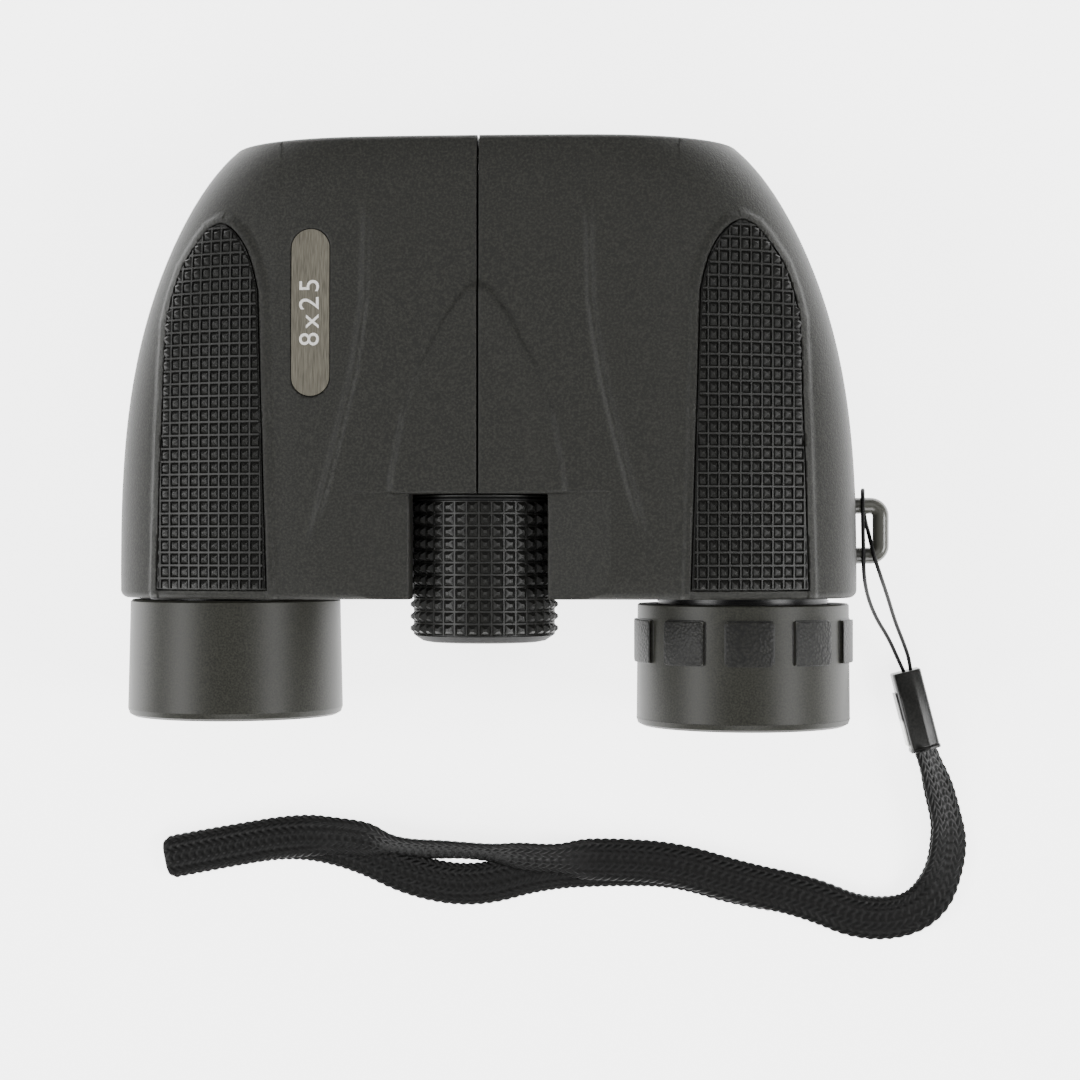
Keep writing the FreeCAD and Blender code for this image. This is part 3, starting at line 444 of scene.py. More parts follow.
def black_anodised_aluminium():
    """Turned aluminium, anodised black: fine turning lines round its axis."""
    material, tree, shader, place = new_material("black_anodised_aluminium", "#0d0d0e", 0.4, 0.3)
    lines = bands(tree, place, 0.25, Distortion=0.3)
    vary_roughness(tree, shader, lines, 0.32, 0.48)
    bump(tree, shader, lines, 0.01, 0.3)
    return material


def bright_steel():
    """Turned and ground spring steel: bright, with a faint grain."""
    material, tree, shader, place = new_material("bright_steel", "#b9b7b2", 0.28, 1.0)
    fine = grain(tree, place, 0.3, 2.0)
    vary_roughness(tree, shader, fine, 0.2, 0.36)
    return material


def blackened_steel():
    """Black-oxide steel screws: dark, slightly glossy."""
    material, tree, shader, place = new_material("blackened_steel", "#232324", 0.35, 1.0)
    fine = grain(tree, place, 0.2, 2.0)
    vary_roughness(tree, shader, fine, 0.28, 0.45)
    return material


def coated_glass():
    """Multi-coated optical glass: clear, with a faint violet-green reflection."""
    material, tree, shader, place = new_material("coated_glass", "#dfeae6", 0.02, 0.0, IOR=1.52,
                                                 Transmission_Weight=1.0, Coat_Weight=0.2,
                                                 Coat_Roughness=0.02)
    shader.inputs["Coat Tint"].default_value = linear("#7f6fc8")
    haze = grain(tree, place, 6.0, 1.0)
    vary_roughness(tree, shader, haze, 0.01, 0.03)
    return material


def bronze_anodised_plate():
    """Aluminium plate, brushed along its length and anodised dark bronze."""
    material, tree, shader, place = new_material("bronze_anodised_plate", colours().plate, 0.34, 0.75)
    stretched = add(tree, "ShaderNodeMapping", Vector=place, Scale=(12.0, 0.5, 12.0)).outputs["Vector"]
    lines = grain(tree, stretched, 1.2, 2.0)
    tint(tree, shader, lines, colours().plate, "#7d796d")
    vary_roughness(tree, shader, lines, 0.28, 0.42)
    return material


def screen_ink():
    """White screen-printed ink."""
    material, tree, shader, place = new_material("screen_ink", "#dcdad4", 0.5)
    fine = grain(tree, place, 0.15, 2.0)
    tint(tree, shader, fine, "#c9c7c1", "#e4e2dd")
    return material


def grey_enamel():
    """Die-cast zinc lug under dark grey enamel: smooth, semi-gloss."""
    material, tree, shader, place = new_material("grey_enamel", "#45453f", 0.3, 0.0, Coat_Weight=0.3)
    fine = grain(tree, place, 0.5, 2.0)
    vary_roughness(tree, shader, fine, 0.25, 0.4)
    return material


def braided_polyester():
    """Tubular polyester braid: near black, with a sheen that follows the yarns."""
    material, tree, shader, place = new_material("braided_polyester", colours().braid, 0.45,
                                                 Specular_IOR_Level=0.18)
    fibre = grain(tree, place, 0.12, 3.0, 0.7)
    tint(tree, shader, fibre, colours().braid, "#0f0f0e")
    bump(tree, shader, fibre, 0.03, 0.6)
    return material


def glossy_abs():
    """Injection-moulded black ABS: glossy, with faint sink and scuffs."""
    material, tree, shader, place = new_material("glossy_abs", "#141413", 0.3, Specular_IOR_Level=0.35)
    fine = grain(tree, place, 0.3, 3.0)
    tint(tree, shader, fine, "#111110", "#1f1f1d")
    vary_roughness(tree, shader, fine, 0.24, 0.42)
    bump(tree, shader, fine, 0.02, 0.4)
    return material


def silver_film():
    """Printed silver polyester film."""
    material, tree, shader, place = new_material("silver_film", "#a9a9a6", 0.35, 0.4)
    stripes = bands(tree, place, 1.6)
    tint(tree, shader, stripes, "#4a4a49", "#c8c8c4", 0.4, 0.6)
    return material


FINISHES = {}


def finish(name):
    """Each material is made once."""
    if name not in FINISHES:
        FINISHES[name] = globals()[name]()
    return FINISHES[name]


# ---- routes, mm ----------------------------------------------------------------------------------
STRING_ROUTE = ((63.3, -35.2, 2.8), (62.2, -33.0, 3.8), (60.4, -29.6, 6.8), (58.0, -26.4, 11.2),
                (56.2, -23.0, 16.2), (55.2, -19.8, 20.8), (55.0, -16.8, 22.6), (54.9, -12.8, 22.6),
                (54.9, -8.6, 22.4), (55.1, -7.0, 20.5), (55.3, -8.6, 18.4), (55.6, -11.6, 18.2),
                (56.0, -14.0, 20.8), (56.4, -16.8, 22.8), (57.6, -19.8, 20.8), (59.3, -23.2, 15.6),
                (61.0, -27.0, 10.2), (62.9, -30.6, 5.8), (64.0, -33.2, 3.6), (64.3, -35.2, 2.8))
# both strands leave the clip and reach the folded end together, and part between
STRAP_START = ((66.4, -46.8), (69.6, -55.4), (70.4, -64.0), (66.6, -72.2), (57.6, -74.0), (48.0, -70.0))
STRAP_END = ((-42.0, -62.8), (-52.6, -64.9))
STRAP_LOWER = (*STRAP_START, (38.0, -68.6), (28.0, -65.6), (17.6, -65.6), (7.0, -66.2), (-3.3, -69.2),
               (-13.0, -67.8), (-22.0, -63.4), (-31.6, -61.4), *STRAP_END)
STRAP_UPPER = (*STRAP_START, (38.0, -68.0), (28.0, -65.0), (17.6, -64.4), (7.0, -64.6), (-3.6, -63.0),
               (-14.0, -62.9), (-23.0, -61.2), (-32.0, -61.0), *STRAP_END)

# how far each strand rolls onto its edge at each point of its route, degrees
ROLL_LOWER = (58, 48, 30, 12, 0, 0, 0, 0, 0, 0, 0, 0, 0, 0, 0, 0)
ROLL_UPPER = (58, 40, 22, 0, 0, 0, 0, 0, 0, 40, 64, 62, 22, 0, 0, 0)


STRAND_STEP = 0.17          # spacing of the rings of points along a strand, mm
STRAND_AROUND = 96          # points in one ring
YARN_SLANT = 0.95           # stitches that a yarn runs along while it crosses one column
END_TAPER = 1.6             # the folded end rounds off over this length, mm


def strap_strand(name, route, rolls, low_mm, replaced):
    """One strand of the flat braid: a flattened tube along the route, its yarns raised in a herringbone."""
    width = sizes().strap_width
    thick = sizes().strap_thick
    places = []
    for (x, y), roll in zip(route, rolls):
        tall = width / 2 * math.sin(math.radians(roll))
        places.append((x, y, max(low_mm + thick / 2, 0.1 + tall + thick / 2)))
    line = line_points(places, name + "_line", STRAND_STEP)
    around = STRAND_AROUND
    profile = []
    for index in range(around + 1):
        angle = 2 * math.pi * index / around
        across = math.copysign(abs(math.cos(angle)) ** 0.8, math.cos(angle)) * width / 2
        up = math.copysign(abs(math.sin(angle)) ** 0.6, math.sin(angle)) * thick / 2
        profile.append((across, up))
    stations = []
    run = 0.0
    for index, point in enumerate(line):
        ahead = line[min(index + 1, len(line) - 1)] - line[max(index - 1, 0)]
        side = Vector((ahead.y, -ahead.x, 0)).normalized()
        if index:
            run += (point - line[index - 1]).length / MM
        weights = [((point.x / MM - x) ** 2 + (point.y / MM - y) ** 2 + 14) ** -1.6 for x, y in route]
        roll = math.radians(sum(w * r for w, r in zip(weights, rolls)) / sum(weights))
        flat = side * math.cos(roll) + Vector((0, 0, math.sin(roll)))
        out = Vector((0, 0, math.cos(roll))) - side * math.sin(roll)
        stations.append((point, flat, out, run))
    bm = bmesh.new()
    bmesh.ops.create_grid(bm, x_segments=len(line) - 1, y_segments=around, size=1.0)
    column = sizes().braid_column
    for vert in bm.verts:
        point, flat, out, run = stations[round((vert.co.x + 1) / 2 * (len(line) - 1))]
        across, up = profile[round((vert.co.y + 1) / 2 * around)]
        share = (across / column) % 2
        slant = share if share < 1 else 2 - share
        yarn = abs(math.sin(math.pi * (run / sizes().braid_pitch + slant * YARN_SLANT)))
        seam = abs(((across / column) % 1) * 2 - 1)
        raised = 0.52 + 0.62 * yarn ** 0.7 * (1 - 0.6 * seam ** 3)
        edge = 1 + 0.06 * yarn * abs(across) / width * 2
        near = min(max(1 - (stations[-1][3] - run) / END_TAPER, 0), 1)
        edge *= 1 - (1 - math.sqrt(1 - near * near)) * 3.2 / width
        raised *= math.sqrt(1 - 0.8 * near * near)
        vert.co = point + flat * across * edge * MM + out * up * raised * MM
    bmesh.ops.remove_doubles(bm, verts=bm.verts, dist=0.00001)
    bmesh.ops.holes_fill(bm, edges=[edge for edge in bm.edges if edge.is_boundary], sides=0)
    piece = to_object(name, bm, finish("braided_polyester"), "right_half", "strap_fabric", True, replaced)
    return piece, line


CLIP_TOP = (63.5, -34.9)
CLIP_FOOT = (66.6, -47.1)
CLIP_OUTLINE = ((-2.25, 0.3), (-2.25, 3.5), (-1.9, 4.1), (0.5, 4.6), (2.0, 4.0), (2.25, 3.5), (2.25, 0.3))
LABEL_OUTLINE = ((-2.28, 0.7), (-2.62, 0.5), (-2.5, 3.3), (-2.28, 3.4))


def along_clip(name, outline, start, end, soften, material, slot, replaced):
    """A piece of the clip: an outline across it, drawn out between two places along it, mm."""
    run = Vector((CLIP_FOOT[0] - CLIP_TOP[0], CLIP_FOOT[1] - CLIP_TOP[1], 0)).normalized()
    bm = bmesh.new()
    face = bm.faces.new([bm.verts.new((x, start, z)) for x, z in outline])
    made = bmesh.ops.extrude_face_region(bm, geom=[face])["geom"]
    bmesh.ops.translate(bm, verts=verts_in(made), vec=(0, end - start, 0))
    bmesh.ops.recalc_face_normals(bm, faces=bm.faces)
    bmesh.ops.bevel(bm, geom=bm.edges[:], offset=soften, affect="EDGES", segments=3, profile=0.5, material=-1,
                    clamp_overlap=True)
    place = Matrix(((-run.y, run.x, 0), (run.x, run.y, 0), (0, 0, 1))).to_4x4()
    place.translation = Vector((*CLIP_TOP, 0))
    bmesh.ops.transform(bm, matrix=Matrix.Scale(MM, 4) @ place, verts=bm.verts)
    piece = to_object(name, bm, finish(material), "right_half", slot, True, replaced)
    piece.data.set_sharp_from_angle(angle=math.radians(40))
    return piece


class MakeStrap(bpy.types.Operator):
    """Make the string, the clip and the two strands of the wrist strap."""
    bl_idname = "binoculars.make_strap"
    bl_label = "Strap"

    def execute(self, context):
        thick = sizes().strap_thick
        long = math.dist(CLIP_TOP, CLIP_FOOT)
        clip = along_clip("moulded_clip", CLIP_OUTLINE, 0.0, long - 0.5, 0.3, "glossy_abs", "clip_plastic",
                          ["strap_clip"])
        lip = along_clip("clip_lip", [(x * 1.04, z) for x, z in CLIP_OUTLINE], long - 0.6, long, 0.15,
                         "glossy_abs", "clip_plastic", [])
        label = along_clip("clip_film", LABEL_OUTLINE, 3.0, long - 1.2, 0.04, "silver_film", "label_film",
                           ["clip_label"])
        lower, line = strap_strand("strap_lower_strand", STRAP_LOWER, ROLL_LOWER, 0.1,
                                   ["wrist_strap_lower"])
        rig.cord(lower, exit=line[0], length=sum((b - a).length for a, b in zip(line, line[1:])),
                diameter=sizes().strap_width * MM, far_end="object", stiffness="limp", lay="loose", path=line,
                with_pieces=[clip, lip, label])
        upper, line = strap_strand("strap_upper_strand", STRAP_UPPER, ROLL_UPPER, thick + 0.25,
                                   ["wrist_strap_upper"])
        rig.cord(upper, exit=line[0], length=sum((b - a).length for a, b in zip(line, line[1:])),
                diameter=sizes().strap_width * MM, far_end="object", stiffness="limp", lay="loose", path=line)
        string = centre_line(STRING_ROUTE, "strap_loop_string")
        string.data.bevel_depth = sizes().string_thick / 2 * MM
        string.data.bevel_resolution = 4
        string.data.use_fill_caps = True
        string.data.materials.append(finish("braided_polyester"))
        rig.ride(string, "right_half")
        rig.slot(string, "cord_fabric")
        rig.replaces(string, "strap_string")
        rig.cord(string, exit=[value * MM for value in STRING_ROUTE[0]], length=0.079,
                diameter=sizes().string_thick * MM, far_end="object", stiffness="limp", lay="loose",
                with_pieces=[frame["nodes"]["right_strap_lug"]])
        finish_node("right_strap_lug", finish("grey_enamel"))
        return {"FINISHED"}


FLOOR_REACH = 3.0           # metres from the middle to each edge
FLOOR_DROP = 0.0002         # the floor lies this far under the part, metres
FLOOR_GLOW = 3.6
ROOM_GLOW = 0.16
# name, place in metres, width in metres, power in watts
LAMPS = (("left_softbox", (-0.75, -0.1, 0.65), 0.4, 8.0), ("right_softbox", (0.8, -0.15, 0.7), 0.4, 9.0),
         ("rear_softbox", (0.1, -0.8, 0.75), 0.6, 7.0), ("top_softbox", (0.0, 0.4, 1.0), 0.7, 2.0))
LAMP_TARGET = (0, 0, 0.02)
CAMERA_EYE = (23.2, -16.2, 330.5)     # mm
CAMERA_TARGET = (7.7, -14.7, 20.5)


class MakeStage(bpy.types.Operator):
    """Make the pale floor, the soft lights and the camera."""
    bl_idname = "binoculars.make_stage"
    bl_label = "Stage"

    def execute(self, context):
        bm = bmesh.new()
        bmesh.ops.create_grid(bm, x_segments=1, y_segments=1, size=FLOOR_REACH)
        mesh = bpy.data.meshes.new("floor")
        bm.to_mesh(mesh)
        bm.free()
        floor = bpy.data.objects.new("floor", mesh)
        context.scene.collection.objects.link(floor)
        floor.location.z = -FLOOR_DROP
        paper, _, shader, _ = new_material("lit_white_paper", "#ffffff", 0.9, Specular_IOR_Level=0.0)
        shader.inputs["Emission Color"].default_value = linear("#ffffff")
        shader.inputs["Emission Strength"].default_value = FLOOR_GLOW
        mesh.materials.append(paper)
        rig.stage(floor)
        world = bpy.data.worlds.new("soft_room")
        world.use_nodes = True
        world.node_tree.nodes["Background"].inputs["Color"].default_value = linear("#ffffff")
        world.node_tree.nodes["Background"].inputs["Strength"].default_value = ROOM_GLOW
        context.scene.world = world
        for name, place, size, power in LAMPS:
            light = bpy.data.lights.new(name, "AREA")
            light.size = size
            light.energy = power
            lamp = bpy.data.objects.new(name, light)
            lamp.location = place
            aim = Vector(LAMP_TARGET) - Vector(place)
            lamp.rotation_euler = aim.to_track_quat("-Z", "Y").to_euler()
            context.scene.collection.objects.link(lamp)
        eye = Vector(CAMERA_EYE) * MM
        target = Vector(CAMERA_TARGET) * MM
        back = (eye - target).normalized()
        right = Vector((0, 1, 0)).cross(back).normalized()
        up = back.cross(right)
        camera = bpy.data.objects.new("camera", bpy.data.cameras.new("camera"))
        camera.data.sensor_width = 36.0
        camera.data.lens = 70.0
        camera.data.clip_start = 0.01
        camera.matrix_world = Matrix((right, up, back)).transposed().to_4x4()
        camera.matrix_world.translation = eye
        context.scene.collection.objects.link(camera)
        context.scene.camera = camera
        return {"FINISHED"}


# moulded lines of a half's top, as (distance from the seam, y), mm, front to rear
CREASE = ((15.3, 35.0), (15.7, 18.4), (17.3, 8.0), (19.5, -1.0), (21.2, -7.5), (23.6, -16.0))
SHIELD = ((-1.2, 20.8), (0.0, 20.8), (1.6, 20.1), (4.2, 16.6), (8.0, 9.4), (10.4, 2.8), (12.0, -5.8),
          (12.2, -9.0))
GRIP_EDGE = ((29.7, -25.0), (31.0, 20.0), (32.2, 24.6), (34.0, 27.9), (35.4, 29.3), (37.0, 29.9),
             (38.6, 29.3), (39.9, 27.9), (42.6, 24.0), (44.0, 20.0), (44.8, 16.5), (46.0, -25.0))


def side_distance(point, line):
    """Signed distance in plan from an open line: positive on its left as it runs."""
    best = None
    for (x0, y0), (x1, y1) in zip(line, line[1:]):
        run = Vector((x1 - x0, y1 - y0))
        away = Vector((point[0] - x0, point[1] - y0))
        share = min(max(away.dot(run) / run.length_squared, 0), 1)
        gap = (away - run * share).length
        if best is None or gap < abs(best) - 0.000001:
            best = math.copysign(gap, run.x * away.y - run.y * away.x)
    return best


def smooth_step(value, low, high):
    """0 below low, 1 above high, and an even ramp between."""
    share = min(max((value - low) / (high - low), 0), 1)
    return share * share * (3 - 2 * share)


def moulded_rise(x, y):
    """How far the moulded lines raise a half's top at a place, mm."""
    crease = side_distance((x, y), CREASE)
    fade = smooth_step(y, -16, -8) * (1 - smooth_step(y, 29, 34))
    rise = sizes().ridge_height * fade * math.exp(-(crease / 0.5) ** 2)
    if y > -8.3:
        inside = -side_distance((x, y), SHIELD)
        dome = 1 - 0.5 * smooth_step(inside, 0.25, 6)
        rise += sizes().shield_rise * smooth_step(inside, -0.25, 0.25) * dome
    outside = side_distance((x, y), GRIP_EDGE)
    rise += sizes().band_rise * smooth_step(outside, 0.0, 0.3) * (1 - smooth_step(outside, 1.15, 1.6))
    return rise


def sculpted_cover(side):
    """A half's top cover with its creases, arched shield and grip bands moulded in."""
    way = 1 if side == "right" else -1
    bm = bmesh.new()
    bm.from_mesh(frame["nodes"][side + "_top_cover"].data)
    bmesh.ops.remove_doubles(bm, verts=bm.verts, dist=0.002 * MM)
    bm.normal_update()
    faces = [face for face in bm.faces if face.normal.z > 0.25 and face.calc_center_median().z > 26 * MM]
    geometry = list({vert for face in faces for vert in face.verts}
                    | {edge for face in faces for edge in face.edges})
    geometry += faces
    across = [0.4 * step for step in range(1, 60)] + [24 + 0.8 * step for step in range(6)]
    across += [28 + 0.45 * step for step in range(45)]
    cuts = [(way * x * MM, (1, 0, 0)) for x in across]
    cuts += [(0.6 * step * MM, (0, 1, 0)) for step in range(-38, 69)]
    for place, normal in cuts:
        made = bmesh.ops.bisect_plane(bm, geom=geometry, dist=0.0, plane_co=Vector(normal) * place,
                                      plane_no=normal)
        geometry = made["geom"]
    for vert in set(verts_in(geometry)):
        vert.co.z += moulded_rise(abs(vert.co.x) / MM, vert.co.y / MM) * MM
    piece = to_object(side + "_moulded_cover", bm, finish("soft_touch_paint"), side + "_half", "body_paint",
                      True, [side + "_top_cover"])
    piece.data.set_sharp_from_angle(angle=math.radians(38))


class FinishHousing(bpy.types.Operator):
    """Paint the covers and finish their screws and the frames inside."""
    bl_idname = "binoculars.finish_housing"
    bl_label = "Housing"

    def execute(self, context):
        for side in SIDES:
            sculpted_cover(side)
            finish_node(side + "_bottom_cover", finish("soft_touch_paint"))
            finish_node(side + "_cover_screws", finish("blackened_steel"))
            finish_node(side + "_chassis", finish("glass_filled_nylon"))
            finish_node(side + "_prism_clips", finish("bright_steel"))
        for node in ("hinge_bush", "hinge_pin", "focus_spindle", "spindle_clip"):
            finish_node(node, finish("blackened_steel"))
        for node in ("hinge_washers", "focus_carriage"):
            finish_node(node, finish("glass_filled_nylon"))
        return {"FINISHED"}


def studded_sheet(columns, rows, pitch_x, pitch_y, rise, tip, rib):
    """A flat rubber sheet, mm, from 0, 0: square pits between thin ribs, with a pyramid in each pit."""
    shares = (0.0, 0.07, 0.1, 0.5 - tip, 0.5 + tip, 0.9, 0.93)
    heights = (rib, rib, 0.0, 1.0, 1.0, 0.0, rib)
    size = len(shares)
    bm = bmesh.new()
    bmesh.ops.create_grid(bm, x_segments=columns * size, y_segments=rows * size, size=1.0)
    low_corners = []
    for vert in bm.verts:
        column, at_x = divmod(round((vert.co.x + 1) / 2 * columns * size), size)
        row, at_y = divmod(round((vert.co.y + 1) / 2 * rows * size), size)
        on_rib = at_x in (0, 1, 6) or at_y in (0, 1, 6)
        vert.co = ((column + shares[at_x]) * pitch_x, (row + shares[at_y]) * pitch_y,
                   rise * (rib if on_rib else min(heights[at_x], heights[at_y])))
        if at_x in (2, 5) and at_y in (2, 5):
            low_corners.append(vert)
    for corner in low_corners:
        for face in list(corner.link_faces):
            top = max(face.verts, key=lambda v: v.co.z)
            if len(face.verts) == 4 and top.co.z > rise * 0.9:
                bmesh.utils.face_split(face, corner, top)
    return bm


STUD_INSET = 0.12           # the studs stop this far inside the grip's edge, mm
STUD_LIFT = 0.03            # the stud sheet lies this far above its grip, mm
STUD_FLOOR = 0.02           # no stud reaches below this height, mm
GRIP_SKIRT = -0.2           # the sheets' rims turn down to these heights, to close them, mm
TREAD_SKIRT = -1.2
# dark rubber discs just ahead of the wheel, put where the slot shows only shade so that the bright floor does not show
# through the gap: painted shade
SEAL_DISCS = ((0.72, 10.4, 0.25), (1.04, 6.6, 0.42))   # place ahead of the tread, radius, thickness, mm


def stand(bm, mesh, place):
    """Add a copy of a small mesh at a place."""
    mesh.transform(place)
    bm.from_mesh(mesh)
    mesh.transform(place.inverted())


class MakeGrips(bpy.types.Operator):
    """Cover the four rubber grips with square studs."""
    bl_idname = "binoculars.make_grips"
    bl_label = "Grips"

    def execute(self, context):
        across = sizes().stud_across
        along = sizes().stud_along
        for side, out in (("right", 1), ("left", -1)):
            for face, way in (("top", 1), ("bottom", -1)):
                node = side + "_grip_" + face
                finish_node(node, finish("moulded_rubber"))
                surface = surface_of(node)
                low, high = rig.box(node)
                columns = int((high.x - low.x) / MM / across) + 2
                rows = int((high.y - low.y) / MM / along) + 2
                bm = studded_sheet(columns, rows, across, along, sizes().stud_height, 0.05, 0.48)
                middle = (low.x + high.x) / 2 / MM
                corner = (middle - columns * across / 2, low.y / MM - 0.3, 0)
                bmesh.ops.translate(bm, verts=bm.verts, vec=corner)
                for (x0, y0), (x1, y1) in zip(GRIP_EDGE, GRIP_EDGE[1:]):
                    inward = Vector((y1 - y0, x0 - x1, 0)).normalized()
                    place = Vector((x0, y0, 0)) + inward * STUD_INSET
                    cut(bm, (out * place.x, place.y, 0), (out * inward.x, inward.y, 0), True)
                cut(bm, (0, low.y / MM + STUD_INSET, 0), (0, 1, 0), True)
                rim = [edge for edge in bm.edges if edge.is_boundary]
                made = bmesh.ops.extrude_edge_only(bm, edges=rim)["geom"]
                for vert in verts_in(made):
                    vert.co.z = GRIP_SKIRT
                for vert in bm.verts:
                    start = Vector((vert.co.x * MM, vert.co.y * MM, 0.02 + way * 0.06))
                    point, normal, _, _ = surface.ray_cast(start, Vector((0, 0, -way)))
                    if point is None:
                        raise RuntimeError(node + " is narrower than its studs")
                    vert.co = point + normal * (vert.co.z + STUD_LIFT) * MM
                    # the lowest studs are pressed flat where the body stands
                    vert.co.z = max(vert.co.z, STUD_FLOOR * MM)
                to_object(node + "_studs", bm, finish("moulded_rubber"), side + "_half", "grip_rubber", False)
        return {"FINISHED"}


class MakeWheel(bpy.types.Operator):
    """Make the focus wheel's rubber tread of square studs, and the dark discs ahead of it that paint the shade in its
    slot.
    """
    bl_idname = "binoculars.make_wheel"
    bl_label = "Focus wheel"

    def execute(self, context):
        finish_node("focus_wheel", finish("glass_filled_nylon"))
        low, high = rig.box("focus_wheel_sleeve")
        middle = (low + high) / 2
        radius = (high.x - low.x) / 2 - sizes().tread_height * MM
        length = high.y - low.y
        rows = sizes().wheel_rows
        pitch = length / rows / MM
        around = sizes().wheel_studs
        bm = studded_sheet(around, rows, 1.0, pitch, sizes().tread_height, 0.12, 0.24)
        rim = [edge for edge in bm.edges
               if edge.is_boundary and abs(edge.verts[0].co.y - edge.verts[1].co.y) < 0.0001]
        made = bmesh.ops.extrude_edge_only(bm, edges=rim)["geom"]
        for vert in verts_in(made):
            vert.co.z = TREAD_SKIRT
        for vert in bm.verts:
            angle = 2 * math.pi * vert.co.x / around
            reach = radius + vert.co.z * MM
            vert.co = (middle.x + math.sin(angle) * reach, low.y + vert.co.y * MM,
                       middle.z + math.cos(angle) * reach)
        bmesh.ops.remove_doubles(bm, verts=bm.verts, dist=0.001 * MM)
        # dark discs that stand in for the shade inside the slot ahead of the wheel: painted shade
        seal = bmesh.new()
        turn = Matrix.Rotation(math.pi / 2, 4, "X")
        for ahead, disc, thick in SEAL_DISCS:
            hub = Matrix.Translation((middle.x, high.y + ahead * MM, middle.z)) @ turn
            bmesh.ops.create_cone(seal, cap_ends=True, segments=64, radius1=disc * MM, radius2=disc * MM,
                                  depth=thick * MM, matrix=hub)
        rims = [edge for edge in seal.edges
                if len(edge.link_faces) == 2 and abs(edge.verts[0].co.y - edge.verts[1].co.y) < 0.00001]
        bmesh.ops.bevel(seal, geom=rims,
                        offset=0.06 * MM, affect="EDGES", segments=2, profile=0.5, material=-1)
        to_object("focus_gap_shade_disc", seal, finish("moulded_rubber"), "right_half", "wheel_rubber", False)
        to_object("focus_wheel_tread", bm, finish("moulded_rubber"), "focus_wheel", "wheel_rubber", False,
                  ["focus_wheel_sleeve"])
        return {"FINISHED"}


def bent_pad(length, width, thick, corner, edge, radius):
    """A plate with rounded corners and a softened rim, bent to a radius about the Y axis, mm."""
    bm = bmesh.new()
    bmesh.ops.create_cube(bm, size=1.0, matrix=Matrix.Diagonal((width, length, thick, 1)))
    bmesh.ops.bevel(bm, geom=[e for e in bm.edges if abs(e.verts[0].co.z - e.verts[1].co.z) > thick / 2],
                    offset=corner, affect="EDGES", segments=5, profile=0.5, material=-1)
    rim = [e for e in bm.edges if all(v.co.z > 0 for v in e.verts) and len(e.link_faces) == 2
           and any(abs(f.normal.z) < 0.5 for f in e.link_faces)]
    bmesh.ops.bevel(bm, geom=rim, offset=edge, affect="EDGES", segments=3, profile=0.5, material=-1)
    for step in range(-7, 8):
        cut(bm, (step * width / 16, 0, 0), (1, 0, 0))
    for vert in bm.verts:
        angle = vert.co.x / radius
        reach = radius + vert.co.z
        vert.co.x = math.sin(angle) * reach
        vert.co.z = math.cos(angle) * reach
    return bm


PAD_FROM_FRONT = 2.3        # front edge of the ring to the pads, mm
PAD_SINK = 0.1              # how far under the ring's widest radius the pads and the grooves lie, mm
GROOVE_SINK = 0.62
GROOVE_MARGIN = 0.22        # the groove shows this far round its pad, mm
PAD_THICK = 0.3
PAD_CORNER = 0.55
PAD_EDGE = 0.1
PAD_TURN = 1                # degrees from the top to the first pad


def pads_and_grooves():
    """The dioptre ring's leathery pads, each in a fine dark groove."""
    low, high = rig.box("dioptre_ring")
    right_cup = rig.box("right_eyecup")
    centre = ((right_cup[0] + right_cup[1]) / 2) / MM
    pads = bmesh.new()
    grooves = bmesh.new()
    length = sizes().pad_length
    outer = (high.z - low.z) / 2 / MM
    y = high.y / MM - PAD_FROM_FRONT - length / 2
    for bm, grow, reach in ((pads, 0.0, outer - PAD_SINK), (grooves, GROOVE_MARGIN, outer - GROOVE_SINK)):
        one = bent_pad(length + 2 * grow, sizes().pad_width + 2 * grow, PAD_THICK, PAD_CORNER + grow,
                       PAD_EDGE, reach)
        mesh = bpy.data.meshes.new("pad")
        one.to_mesh(mesh)
        one.free()
        for index in range(sizes().pad_count):
            turn = Matrix.Rotation(math.radians(PAD_TURN + 360 / sizes().pad_count * index), 4, "Y")
            place = Matrix.Scale(MM, 4) @ Matrix.Translation((centre.x, y, centre.z)) @ turn
            stand(bm, mesh, place)
        bpy.data.meshes.remove(mesh)
    to_object("dioptre_pads", pads, finish("leathery_rubber"), "dioptre_ring", "grip_rubber", True)
    to_object("dioptre_grooves", grooves, finish("moulded_rubber"), "dioptre_ring", "grip_rubber", True)


class FinishEyepieces(bpy.types.Operator):
    """Finish the eyecups, the dioptre ring and the barrels."""
    bl_idname = "binoculars.finish_eyepieces"
    bl_label = "Eyepieces"

    def execute(self, context):
        for node in ("right_eyecup", "left_eyecup", "dioptre_ring"):
            finish_node(node, finish("satin_polycarbonate"))
        pads_and_grooves()
        for node in ("right_eyepiece_barrel", "left_eyepiece_barrel", "right_ocular_tube",
                     "right_eyepiece_ring", "left_eyepiece_ring"):
            finish_node(node, finish("black_anodised_aluminium"))
        return {"FINISHED"}


class FinishOptics(bpy.types.Operator):
    """Finish lenses, prisms and the cells that hold the objectives."""
    bl_idname = "binoculars.finish_optics"
    bl_label = "Optics"

    def execute(self, context):
        for side in SIDES:
            for part in ("_crown_lens", "_flint_lens", "_field_lens", "_eye_lens", "_front_prism",
                         "_rear_prism"):
                finish_node(side + part, finish("coated_glass"))
            finish_node(side + "_objective_cell", finish("glass_filled_nylon"))
            finish_node(side + "_objective_ring", finish("black_anodised_aluminium"))
        return {"FINISHED"}


LEGEND_HEIGHT = 4.0         # mm
LEGEND_LIFT = 0.03          # the ink stands this far off the plate, mm


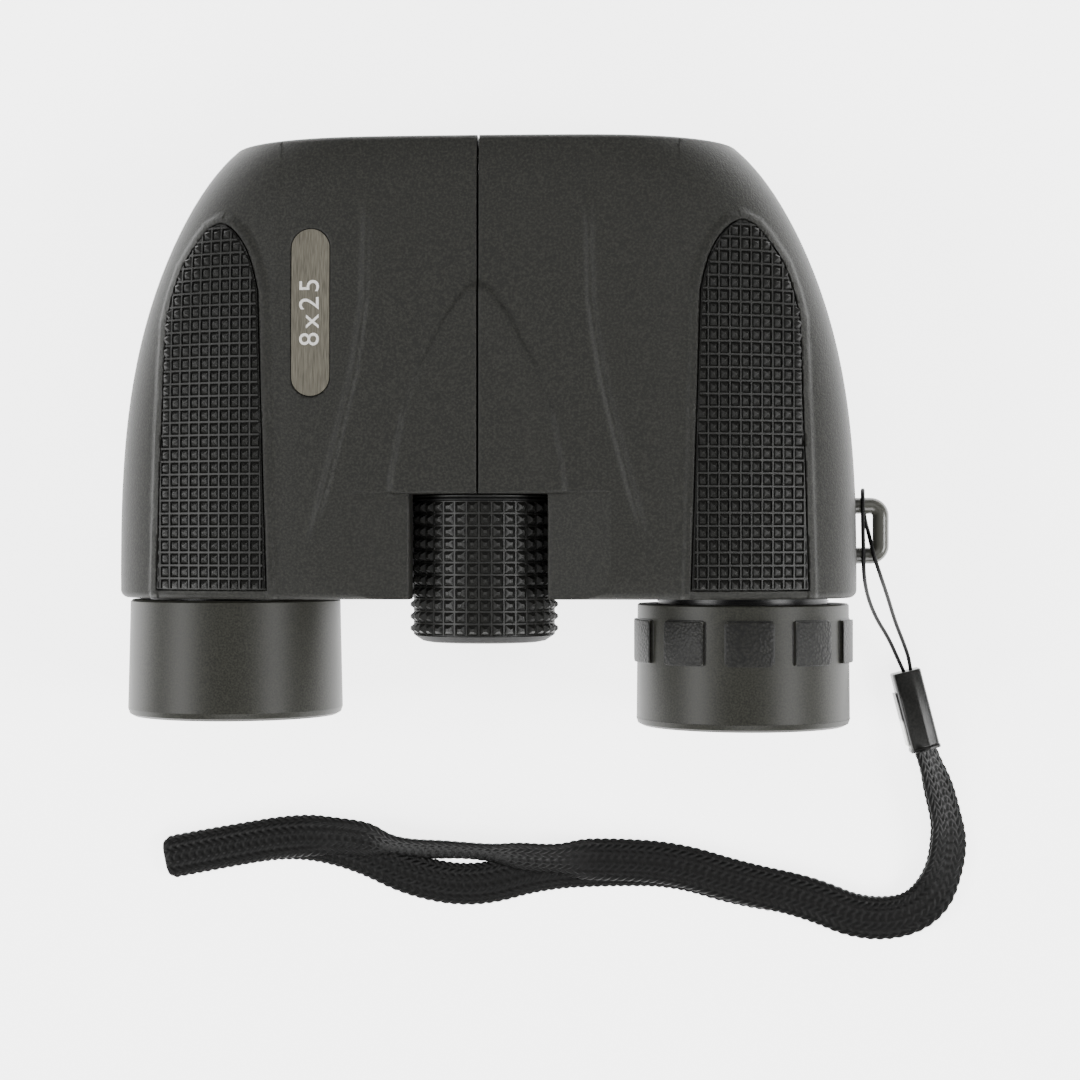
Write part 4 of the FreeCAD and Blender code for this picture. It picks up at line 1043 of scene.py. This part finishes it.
class MakePlate(bpy.types.Operator):
    """Finish the name plate and print its size legend."""
    bl_idname = "binoculars.make_plate"
    bl_label = "Name plate"

    def execute(self, context):
        finish_node("left_name_plate", finish("bronze_anodised_plate"))
        low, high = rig.box("left_name_plate")
        text = bpy.data.curves.new("legend", "FONT")
        text.body = sizes().legend
        text.size = LEGEND_HEIGHT * MM
        text.align_x = "CENTER"
        text.align_y = "CENTER"
        text.space_character = 1.25
        words = bpy.data.objects.new("legend", text)
        context.scene.collection.objects.link(words)
        context.view_layer.update()
        mesh = bpy.data.meshes.new_from_object(words)
        bpy.data.objects.remove(words)
        bm = bmesh.new()
        bm.from_mesh(mesh)
        bpy.data.meshes.remove(mesh)
        centre = (low + high) / 2
        place = Matrix.Translation((centre.x, centre.y, 0)) @ Matrix.Rotation(math.pi / 2, 4, "Z")
        bmesh.ops.transform(bm, matrix=place, verts=bm.verts)
        surface = surface_of("left_name_plate")
        for vert in bm.verts:
            hit = surface.ray_cast(Vector((vert.co.x, vert.co.y, 0.1)), Vector((0, 0, -1)))[0]
            vert.co.z = (hit.z if hit else high.z) + LEGEND_LIFT * MM
        to_object("plate_legend", bm, finish("screen_ink"), "left_half", "plate_metal", False)
        return {"FINISHED"}


class BinocularPanel(bpy.types.Panel):
    """Buttons for each piece of the binoculars."""
    bl_idname = "VIEW3D_PT_binoculars"
    bl_label = "Binoculars"
    bl_space_type = "VIEW_3D"
    bl_region_type = "UI"
    bl_category = "Binoculars"

    def draw(self, context):
        for group in (context.scene.binocular_sizes, context.scene.binocular_colours):
            for name in group.bl_rna.properties.keys():
                if name not in ("rna_type", "name"):
                    self.layout.prop(group, name)
        for operator in OPERATORS:
            self.layout.operator(operator.bl_idname)


OPERATORS = (MakeStage, MakeStrap, FinishHousing, MakeGrips, MakeWheel, FinishEyepieces, FinishOptics,
             MakePlate)
CLASSES = (BinocularSizes, BinocularColours, *OPERATORS, BinocularPanel)


def register():
    for item in CLASSES:
        bpy.utils.register_class(item)
    bpy.types.Scene.binocular_sizes = PointerProperty(type=BinocularSizes)
    bpy.types.Scene.binocular_colours = PointerProperty(type=BinocularColours)


def unregister():
    del bpy.types.Scene.binocular_colours
    del bpy.types.Scene.binocular_sizes
    for item in reversed(CLASSES):
        bpy.utils.unregister_class(item)


def main():
    register()
    bpy.ops.binoculars.make_stage()
    bpy.ops.binoculars.make_strap()
    bpy.ops.binoculars.finish_housing()
    bpy.ops.binoculars.make_grips()
    bpy.ops.binoculars.make_wheel()
    bpy.ops.binoculars.finish_eyepieces()
    bpy.ops.binoculars.finish_optics()
    bpy.ops.binoculars.make_plate()
    with open("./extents.json", "w") as out:
        json.dump({"cad": [list(c) for c in cad_box], "visual": [list(c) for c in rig.bounds()]}, out)


if __name__ == "__main__":
    main()
